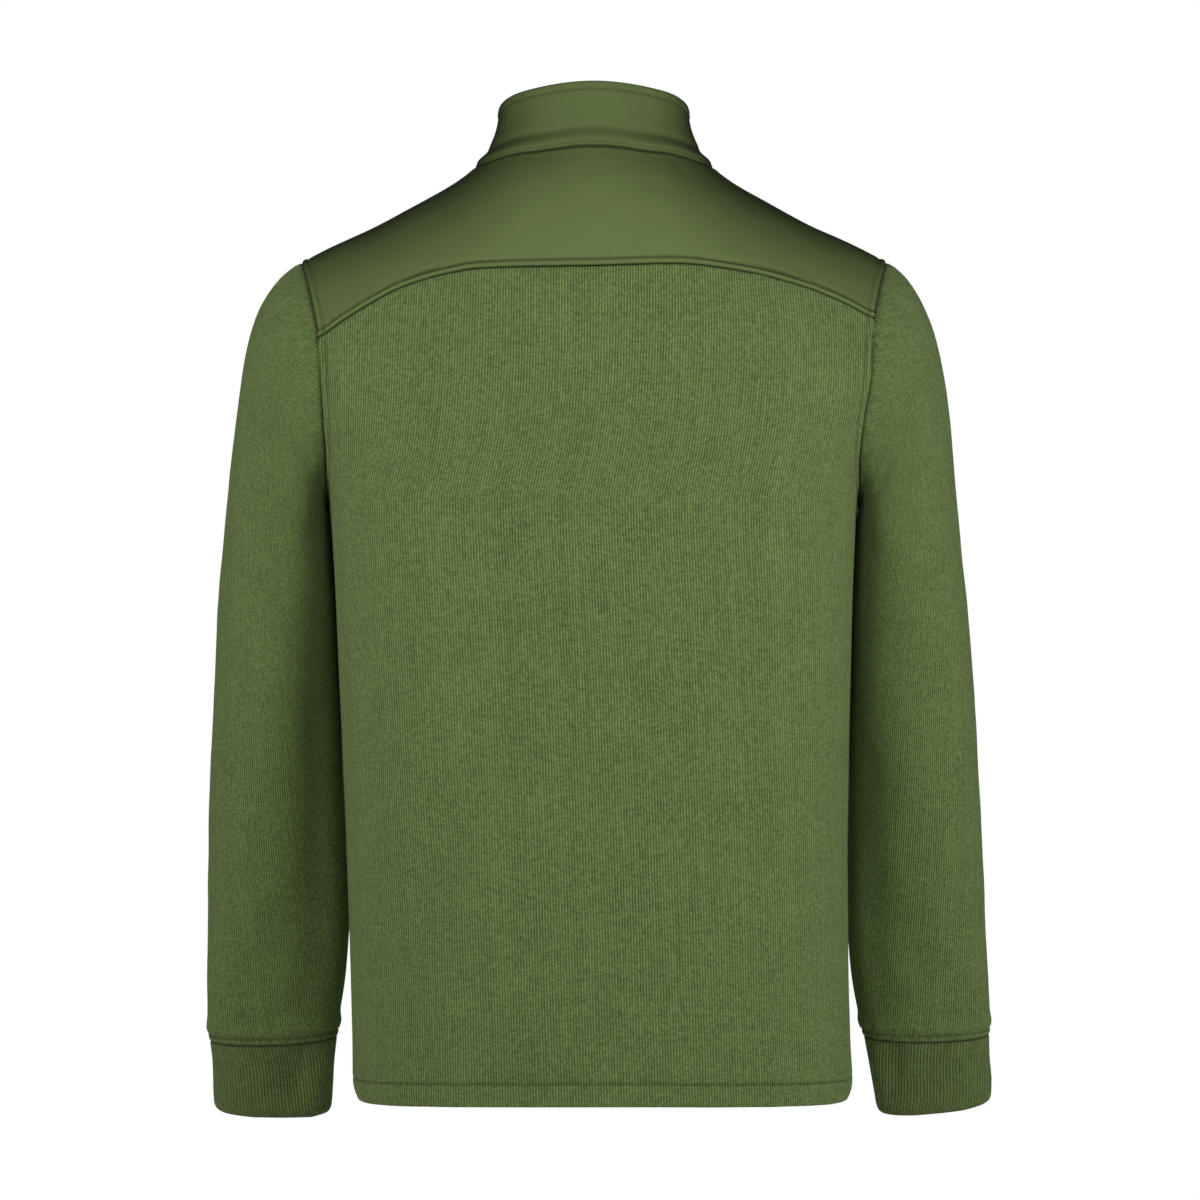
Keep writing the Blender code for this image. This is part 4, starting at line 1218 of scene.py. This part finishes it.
# A sleeve's lower end puffs out over the seam of the cuff
WRIST_STITCHES = 5.4
wrist_edge = seam_style(
    [(0, 0.9, 0.9), (2.8, 1.5, -0.5), (WRIST_STITCHES, 0.9, 0.9), (11, 5.5, -1.5)],
    [(0, 0.9, 0.75), (WRIST_STITCHES, 0.8, 0.5)],
    (11, 5.5, -0.35, 2.1, 2.6, 17))

sleeve_knit = knit_material("sleeve_knit", (0.033, 0.049, 0.014), (0.212, 0.318, 0.092), 1.85, 1.46)
sleeve_rings = [0.0, 0.02, 0.05, 0.1, 0.17, 0.26, 0.36, 0.48, 0.62, 0.8] + between(1.0, 13.4, 112)
sleeve_rings += [13.5, 13.58, 13.66, 13.74, 13.81, 13.87, 13.92, 13.96, 13.985, 14.0]


def make_sleeve(name, arm):
    def point_at(ring, turn):
        return sleeve_point(ring, turn, arm)

    def fold_at(ring, turn):
        ease = min(ring / 2, (SLEEVE_RINGS - ring) / 2, 1.0)
        return sleeve_fold(ring, turn % (2 * math.pi), arm) * ease

    def armhole_outward(turn):
        return body_outward(*armhole_place(turn % (2 * math.pi), arm))

    turns = tube_turns(spread(470, 3.6))
    outer, ways = tube_grid(point_at, sleeve_rings, turns, arm, fold_at, armhole_outward)
    underarm = seam_tree([row[0] for row in outer])
    seams = [(seam_tree(outer[0]), cap_edge), (seam_tree(outer[-1]), wrist_edge), (underarm, plain_edge)]
    pressed, lights = press(outer, ways, seams)
    inner = pull_in(thicken(outer, ways, SLEEVE_WALL))
    return cloth_shell(name, pull_in(pressed), inner, tube_coordinates(outer), lights, sleeve_knit)


for name, arm in (("left", LEFT), ("right", RIGHT)):
    sleeve = make_sleeve("sleeve_cloth_" + name, arm)
    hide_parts("sleeve_" + name)
    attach(sleeve, "garment")


# ---- Cuffs ----
# Two short bands of the knit, doubled, each sewn to the end of its sleeve with one row of thread
# above the seam.
CUFF_WALL = 2.8
CUFF_ROUNDING = 1.2
CUFF = table(
    "ring outer_height left_outer right_outer inner_height left_inner right_inner middle depth drop lift",
    (0, *WRIST_RING),
    (1, -677, 290.5, 301.5, -676, 198.0, 209.3, -56, 24, 4, 5),
    (2, -696, 290.1, 303.0, -698, 199.2, 213.1, -57, 22, 4, 6),
    (2.6, -705.5, 289.6, 302.7, -707.5, 199.9, 214.8, -57.6, 21.4, 4, 6),
    (2.85, -709.5, 288.2, 301.5, -711.5, 201.3, 216.6, -58, 20.6, 4, 6),
    (3, -712, 285.0, 298.2, -714, 204.6, 220.2, -58, 19.0, 4, 6),
)
CUFF_RINGS = 3
CUFF_FOLD_EASE = 0.5
CUFF_FOLDS = (
    # side, angle, first ring, last ring, half width in degrees, depth
    (LEFT, 118, 0.1, 1.7, 7, 1.0),
    (LEFT, 101, 0.0, 1.3, 6, 0.7),
    (LEFT, 136, 0.2, 1.5, 6, 0.8),
    (LEFT, 114, 0.2, 1.9, 17, 5.0),
    (RIGHT, 128, 0.0, 1.9, 16, 3.0),
    (LEFT, 135, 1.4, 2.8, 10, -1.6),
    (LEFT, 72, 1.2, 3.0, 9, -0.7),
    (RIGHT, 122, 0.1, 1.4, 7, 0.7),
    (RIGHT, 88, 0.0, 1.9, 8, 0.6),
    (RIGHT, 60, 1.0, 3.0, 10, -0.7),
    (LEFT, 238, 0.0, 1.8, 8, 0.8),
    (RIGHT, 244, 0.1, 1.6, 8, 0.8),
)

# The band lies flat under the puffed end of the sleeve, with a painted shadow along its seam
cuff_edge = seam_style([(0, 0.8, 0.5)], [(0, 0.8, 0.75)])

cuff_knit = knit_material("cuff_knit", (0.042, 0.062, 0.018), (0.160, 0.238, 0.070), 2.5, 1.6)


def make_cuff(name, arm):
    def point_at(ring, turn):
        return ring_point(CUFF, ring, turn, arm)

    def fold_at(ring, turn):
        total = 0.0
        degrees = math.degrees(turn) % 360
        for fold_arm, angle, first, last, half_width, depth in CUFF_FOLDS:
            part = (ring - first + CUFF_FOLD_EASE) / (last - first + 2 * CUFF_FOLD_EASE)
            if fold_arm == arm and 0 < part < 1:
                total += depth * math.sin(math.pi * part) * bell(degrees, angle, half_width)
        return total

    rings = [CUFF_RINGS * part for part in spread(53, 2.4)]
    outer, ways = tube_grid(point_at, rings, tube_turns(spread(215, 2.4)), arm, fold_at)
    underarm = seam_tree([row[0] for row in outer])
    pressed, lights = press(outer, ways, [(seam_tree(outer[0]), cuff_edge), (underarm, plain_edge)])
    inner = thicken(outer, ways, CUFF_WALL)
    round_edge(pressed, inner, outer, -1, CUFF_ROUNDING)
    pressed = pull_in(pressed, rows=(True, False))
    inner = pull_in(inner, rows=(True, False))
    return cloth_shell(name, pressed, inner, tube_coordinates(outer), lights, cuff_knit)


for name, arm in (("left", LEFT), ("right", RIGHT)):
    cuff = make_cuff("cuff_cloth_" + name, arm)
    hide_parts("cuff_" + name)
    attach(cuff, "garment")


# ---- Collar ----
# A stand of doubled smooth cloth, folded at its top edge and sewn into the neck, with a row of
# thread below the fold and one above the seam. The seam allowance makes its lowest part bulge.
COLLAR_WALL = 2.8
COLLAR_ROUNDING = 1.3
COLLAR_HALF_WIDTH = 71.5
COLLAR_BACK = 65.0
COLLAR_FRONT = 88.0
COLLAR_FLARE = 1.35
COLLAR_STEEPER_BACK = 0.65

# The height of the collar's top edge, by the angle from the middle of the back
COLLAR_EDGE = table(
    "degrees height",
    (-45, 53.6),
    (0, 58.7),
    (45, 53.6),
    (75, 47.0),
    (90, 42.0),
    (120, 24.0),
    (150, 3.0),
    (180, -9.0),
)


def collar_top(turn):
    """The collar's top edge at an angle from the middle of the back."""
    cosine = math.cos(turn)
    reach = COLLAR_BACK if cosine >= 0 else COLLAR_FRONT
    height = COLLAR_EDGE["height"](math.degrees(min(abs(turn), 2 * math.pi - abs(turn))))
    return Vector((COLLAR_HALF_WIDTH * math.sin(turn), reach * cosine, height))


@functools.lru_cache(maxsize=None)
def neck_point(turn):
    """A point of the neck's seam, worked out once for all the rows that start from it."""
    return body_point(*neck_place(turn))


def collar_point(turn, rise):
    """A point of the collar: it stands up steeply and flares out to the neck seam."""
    base = neck_point(turn)
    top = collar_top(turn)
    flare = (1 - rise) ** (COLLAR_FLARE + COLLAR_STEEPER_BACK * min(1 + math.cos(turn), 1.0))
    point = top + (base - top) * flare
    point.z = base.z + (top.z - base.z) * rise
    return point


def collar_outward(turn, rise):
    """The way that the collar's cloth faces."""
    step = 0.01
    up = collar_point(turn, min(rise + step, 1.0)) - collar_point(turn, max(rise - step, 0.0))
    around = collar_point(turn + step, rise) - collar_point(turn - step, rise)
    return up.cross(around).normalized()


# The doubled cloth over the seam allowance, and the stitches close to the seam, with painted shade
# in the seam, along the stitches and in the trough above the bulge
FOOT_STITCHES = 2.6
collar_foot = seam_style(
    [(0, 0.8, 0.9), (FOOT_STITCHES, 0.8, 0.3), (5.5, 5.2, -1.7), (15, 3.6, 0.7)],
    [(0, 0.7, 0.8), (FOOT_STITCHES, 0.6, 0.3), (13.5, 2.2, 0.18)])

# The stitches below the folded top edge
FOLD_STITCHES = 6.0
collar_fold = seam_style(
    [(3, 2, -0.5), (FOLD_STITCHES, 0.9, 0.6)],
    [(FOLD_STITCHES, 0.6, 0.4)],
    (4, 3, 0.12, 1.9, 2, 12))

collar_turns = [SLIT_TURN * (1 - 2 * part) for part in spread(480, 2.8)]
collar_outer = []
collar_ways = []
for rise in spread(68, 2.2):
    outer_row = []
    way_row = []
    for turn in collar_turns:
        point = collar_point(turn, rise)
        if abs(turn) > math.pi / 2 and abs(point.x) < SLIT_HALF_WIDTH:
            point.x = math.copysign(SLIT_HALF_WIDTH, turn)
        outer_row.append(point)
        way_row.append(collar_outward(turn, rise))
    collar_outer.append(outer_row)
    collar_ways.append(way_row)
collar_seams = [(seam_tree(collar_outer[0]), collar_foot), (seam_tree(collar_outer[-1]), collar_fold)]
collar_seams += [(seam_tree([row[end] for row in collar_outer]), slit_edge) for end in (0, -1)]
collar_pressed, collar_lights = press(collar_outer, collar_ways, collar_seams)
collar_inner = thicken(collar_outer, collar_ways, COLLAR_WALL)
for row in collar_inner:
    for end in (0, -1):
        row[end].x = math.copysign(SLIT_HALF_WIDTH, row[end].x)
round_edge(collar_pressed, collar_inner, collar_outer, -1, COLLAR_ROUNDING)
collar_pressed = pull_in(collar_pressed, rows=(True, False))
collar_inner = pull_in(collar_inner, rows=(True, False))
# A darker copy of the yoke's cloth: painted shade over the whole collar, with the same painted falloff
collar_shaded_cloth = brushed_material("collar_shaded_cloth", (0.090, 0.127, 0.038), (0.145, 0.196, 0.067), True)
collar = cloth_shell("collar_cloth", collar_pressed, collar_inner, cloth_coordinates(collar_outer),
                     collar_lights, collar_shaded_cloth)
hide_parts("collar")
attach(collar, "garment")


# ---- Zip ----
# Two woven tapes behind the slit and a chain of moulded teeth between them, closed up to a small
# painted slider under the collar's top edge, whose pull hangs from its bar.
CHAIN_PROUD = 0.4
CHAIN_DEPTH = 2.2
TOOTH_WIDTH = 3.105
TOOTH_HEIGHT = 1.25
TOOTH_BEVEL = 0.28
TOOTH_PITCH = 1.9
TOOTH_SIDE_STEP = 0.644
ZIP_END_GAP = 1.5


def zip_path():
    """Points up the middle of the zip on the face of the cloth, with the way that each faces."""
    neck_height = neck_place(math.pi)[1]
    path = []
    for height in between(UNDERARM_HEIGHT + ZIP_END_GAP + 1, neck_height - 1, 40):
        path.append((body_point(0.0, height, FRONT), body_outward(0.0, height, FRONT)))
    for rise in between(0.02, 0.975, 24):
        path.append((collar_point(math.pi, rise), collar_outward(math.pi, rise)))
    return path


def along_path(path, spacing):
    """Places at an even spacing along a path: the point, the way it faces and the way along."""
    places = []
    wanted = spacing / 2
    travelled = 0.0
    for (start, start_way), (end, end_way) in zip(path, path[1:]):
        length = (end - start).length
        while wanted <= travelled + length:
            part = (wanted - travelled) / length
            places.append((start.lerp(end, part), start_way.lerp(end_way, part), (end - start) / length))
            wanted += spacing
        travelled += length
    return places


def hard_material(name, color, roughness, metallic):
    """Moulded plastic or painted metal, a little uneven in its color."""
    material, tree, place = new_material(name)
    wear = wire(tree, "ShaderNodeTexNoise", {"Vector": place, "Scale": 900.0})
    lighter = [part * 1.5 for part in color]
    set_shader(tree, {
        "Base Color": mix_colors(tree, wear.outputs["Fac"], color, lighter),
        "Roughness": roughness,
        "Metallic": metallic})
    return material


def woven_material(name, dark, light):
    """Tape woven in a fine twill."""
    material, tree, place = new_material(name)
    twill = wire(tree, "ShaderNodeTexWave", {"Vector": place, "Scale": 380.0, "Distortion": 0.4},
                 bands_direction="DIAGONAL")
    set_shader(tree, {
        "Base Color": mix_colors(tree, twill.outputs["Fac"], dark, light),
        "Normal": bump(tree, 0.4, 0.2 * MM, twill.outputs["Fac"]),
        "Roughness": 0.85})
    return material


zip_tape = woven_material("zip_tape", (0.040, 0.058, 0.020), (0.075, 0.104, 0.038))
zip_plastic = hard_material("zip_teeth", (0.022, 0.032, 0.014), 0.45, 0.0)
zip_metal = hard_material("painted_metal", (0.026, 0.035, 0.018), 0.38, 0.6)

for name, material, slot_name in (
        ("zip_tape_left", zip_tape, "zip_tape"),
        ("zip_tape_right", zip_tape, "zip_tape"),
        ("zip_slider", zip_metal, "zip_metal"),
        ("zip_pull", zip_metal, "zip_metal")):
    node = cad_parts[name]
    node.data.materials.clear()
    node.data.materials.append(material)

bpy.ops.mesh.primitive_cube_add(size=1.0)
tooth = bpy.context.object
tooth.name = "zip_tooth"
bpy.ops.object.mode_set(mode="EDIT")
bpy.ops.transform.resize(value=(TOOTH_WIDTH * MM, (CHAIN_DEPTH + CHAIN_PROUD) * MM, TOOTH_HEIGHT * MM))
bpy.ops.mesh.select_all(action="SELECT")
bpy.ops.mesh.bevel(offset=TOOTH_BEVEL * MM, segments=2, profile=0.6)
bpy.ops.object.mode_set(mode="OBJECT")
tooth_middle = (CHAIN_PROUD - CHAIN_DEPTH) / 2
teeth = []
for number, (point, way, along) in enumerate(along_path(zip_path(), TOOTH_PITCH)):
    side = 1 if number % 2 else -1
    copy = tooth.copy()
    copy.data = tooth.data.copy()
    scene.collection.objects.link(copy)
    middle = point + way * tooth_middle + Vector((side * TOOTH_SIDE_STEP, 0, 0))
    turn = math.atan2(along.y, along.z)
    copy.location = middle * MM
    copy.rotation_euler = (-turn, 0, 0)
    teeth.append(copy)
bpy.data.objects.remove(tooth)
bpy.ops.object.select_all(action="DESELECT")
for copy in teeth:
    copy.select_set(True)
bpy.context.view_layer.objects.active = teeth[0]
bpy.ops.object.join()
bpy.ops.object.transform_apply(location=True, rotation=True, scale=True)
chain = bpy.context.object
chain.name = "zip_chain"
chain.data.name = "zip_chain"
chain.data.materials.append(zip_plastic)
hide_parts("zip_teeth")
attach(chain, "garment")


# ---- Topstitching ----
# Rows of lockstitch in thread of the cloth's own green. Each stitch dips into the cloth at both ends.
STITCH_LENGTH = 1.7
STITCH_GAP = 1.1
THREAD_RADIUS = 0.3
THREAD_SIDES = 6
STITCH_SECTIONS = (
    # part of the stitch's length, how far its middle stands out and its radius, in thread radii
    (0.0, -1.1, 0.7),
    (0.1, -0.25, 1.0),
    (0.5, 0.15, 1.05),
    (0.9, -0.25, 1.0),
    (1.0, -1.1, 0.7),
)
thread = brushed_material("thread", (0.104, 0.148, 0.044), (0.158, 0.216, 0.072), False)


def offset_line(places, margin, towards):
    """A line on the body at a margin from a seam, on the side that the given point lies on."""
    line = []
    points = [(body_point(*place), body_outward(*place)) for place in places]
    for number, (point, outward) in enumerate(points):
        before = points[max(number - 1, 0)][0]
        after = points[min(number + 1, len(points) - 1)][0]
        sideways = outward.cross(after - before).normalized()
        if sideways.dot(towards - point) < 0:
            sideways = -sideways
        moved = point + sideways * margin
        side = BACK if moved.y >= 0 else FRONT
        if outward.z > 0.6:
            height = height_at_depth(moved.x, abs(moved.y), side)
        else:
            height = moved.z
        line.append((body_point(moved.x, height, side), body_outward(moved.x, height, side)))
    return line


def sew(name, lines, sink):
    """One mesh of the stitches along the lines, sunk below the smooth face of the cloth."""
    mesh = bpy.data.meshes.new(name)
    shape = bmesh.new()
    for line in lines:
        for point, way, along in along_path(line, STITCH_LENGTH + STITCH_GAP):
            across = along.cross(way).normalized()
            rings = []
            for part, rise, radius in STITCH_SECTIONS:
                middle = point + along * (part - 0.5) * STITCH_LENGTH
                middle += way * (rise * THREAD_RADIUS - sink)
                ring = []
                for corner in range(THREAD_SIDES):
                    angle = 2 * math.pi * corner / THREAD_SIDES
                    spoke = across * math.cos(angle) + way * math.sin(angle)
                    ring.append(shape.verts.new((middle + spoke * radius * THREAD_RADIUS) * MM))
                rings.append(ring)
            for ring, following in zip(rings, rings[1:]):
                for corner in range(THREAD_SIDES):
                    after = (corner + 1) % THREAD_SIDES
                    shape.faces.new((ring[corner], ring[after], following[after], following[corner]))
            shape.faces.new(list(reversed(rings[0])))
            shape.faces.new(rings[-1])
    bmesh.ops.recalc_face_normals(shape, faces=shape.faces)
    shape.to_mesh(mesh)
    shape.free()
    mesh.shade_smooth()
    mesh.materials.append(thread)
    piece = bpy.data.objects.new(name, mesh)
    scene.collection.objects.link(piece)
    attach(piece, "garment")


def armhole_stitches(arm):
    turns = between(0.02, 2 * math.pi - 0.02, 420)
    places = [armhole_place(turn, arm) for turn in turns]
    return offset_line(places, STITCH_MARGIN, Vector((0.0, 0.0, ARMHOLE_MIDDLE)))


def hem_stitches(side):
    part = HEM_HEIGHT / (UNDERARM_HEIGHT - HEM_LEVEL)
    places = [lower_place(share, part, side) for share in between(0.995, -0.995, 300)]
    return [(body_point(*place), body_outward(*place)) for place in places]


def collar_stitches(distance):
    """A line round the collar, above its seam or, with a negative distance, below its top edge."""
    line = []
    for turn in between(SLIT_TURN - 0.05, 0.05 - SLIT_TURN, 300):
        length = (collar_point(turn, 1.0) - collar_point(turn, 0.0)).length
        rise = distance / length if distance > 0 else 1 + distance / length
        line.append((collar_point(turn, rise), collar_outward(turn, rise)))
    return line


def wrist_stitches(arm):
    def point_at(ring, turn):
        return sleeve_point(ring, turn, arm)

    ring = SLEEVE_RINGS - WRIST_STITCHES / LAST_RING_LENGTH
    turns = between(-3.1, 3.1, 160)
    return [(point_at(ring, turn), tube_outward(point_at, ring, turn, SLEEVE_RINGS, arm)) for turn in turns]


sewn_seam = [seam_place(share) for share in between(0.965, -0.965, 300)]
yoke_stitches = offset_line(sewn_seam, YOKE_STITCHES, Vector((0.0, 40.0, 60.0)))
sew("stitches_armholes", [armhole_stitches(arm) for arm in (LEFT, RIGHT)], 0.35)
sew("stitches_yoke", [yoke_stitches], 0.3)
sew("stitches_hem", [hem_stitches(side) for side in (BACK, FRONT)], 0.55)
sew("stitches_collar", [collar_stitches(-FOLD_STITCHES)], 0.4)
sew("stitches_collar_foot", [collar_stitches(FOOT_STITCHES)], -0.55)
sew("stitches_cuffs", [wrist_stitches(arm) for arm in (LEFT, RIGHT)], -0.25)


# ---- Floor and light ----
# A pale floor far below that glows a little where the camera sees it, a surround that is white to the
# camera and dim to the cloth, and soft lamps: some beside the camera and a large one before the front.
bpy.ops.mesh.primitive_plane_add(size=9.0, location=(0, 0, -1.4))
floor = bpy.context.object
floor.name = "floor"
floor_paint = bpy.data.materials.new("floor_paint")
floor_paint.use_nodes = True
floor_tree = floor_paint.node_tree
floor_rays = floor_tree.nodes.new("ShaderNodeLightPath")
set_shader(floor_tree, {
    "Base Color": (0.80, 0.80, 0.79, 1),
    "Roughness": 0.8,
    "Emission Color": (0.70, 0.70, 0.69, 1),
    "Emission Strength": floor_rays.outputs["Is Camera Ray"]})
floor.data.materials.append(floor_paint)

world = bpy.data.worlds.new("studio")
scene.world = world
world.use_nodes = True
sky = world.node_tree
direction = sky.nodes.new("ShaderNodeTexCoord")
split = wire(sky, "ShaderNodeSeparateXYZ", {"Vector": direction.outputs["Generated"]})
ramp = wire(sky, "ShaderNodeValToRGB", {"Fac": arithmetic(sky, "MULTIPLY_ADD", split.outputs["Z"], 0.5, 0.5)})
ramp.color_ramp.elements[0].position = 0.50
ramp.color_ramp.elements[0].color = (0.09, 0.09, 0.09, 1)
ramp.color_ramp.elements[1].position = 0.62
ramp.color_ramp.elements[1].color = (0.01, 0.01, 0.01, 1)
rays = sky.nodes.new("ShaderNodeLightPath")
seen = mix_colors(sky, rays.outputs["Is Camera Ray"], ramp.outputs["Color"], (1, 1, 1))
connect(sky, sky.nodes["Background"], {"Color": seen, "Strength": 1.0})

LAMPS_AIM = Vector((0, 0, -0.30))
for name, place, width, height, power in (
        ("lamp_over", (0.0, 1.2, 0.35), 0.6, 0.4, 3.8),
        ("lamp_left_high", (1.3, 0.7, 0.2), 0.7, 0.7, 6.1),
        ("lamp_left_near", (1.0, 0.9, -0.25), 0.5, 0.5, 4.2),
        ("lamp_right_high", (-1.3, 0.7, 0.2), 0.7, 0.7, 2.7),
        ("lamp_right_near", (-1.0, 0.9, -0.25), 0.5, 0.5, 7.4),
        ("lamp_right_far", (-1.75, 1.9, -0.05), 0.8, 0.8, 2.0),
        ("lamp_front", (0.0, -3.0, 0.1), 1.4, 1.4, 58)):
    bpy.ops.object.light_add(type="AREA", location=place)
    lamp = bpy.context.object
    lamp.name = name
    lamp.data.shape = "RECTANGLE"
    lamp.data.size = width
    lamp.data.size_y = height
    lamp.data.energy = power
    lamp.rotation_euler = (LAMPS_AIM - Vector(place)).to_track_quat("-Z", "Y").to_euler()
scene.view_settings.view_transform = "Standard"
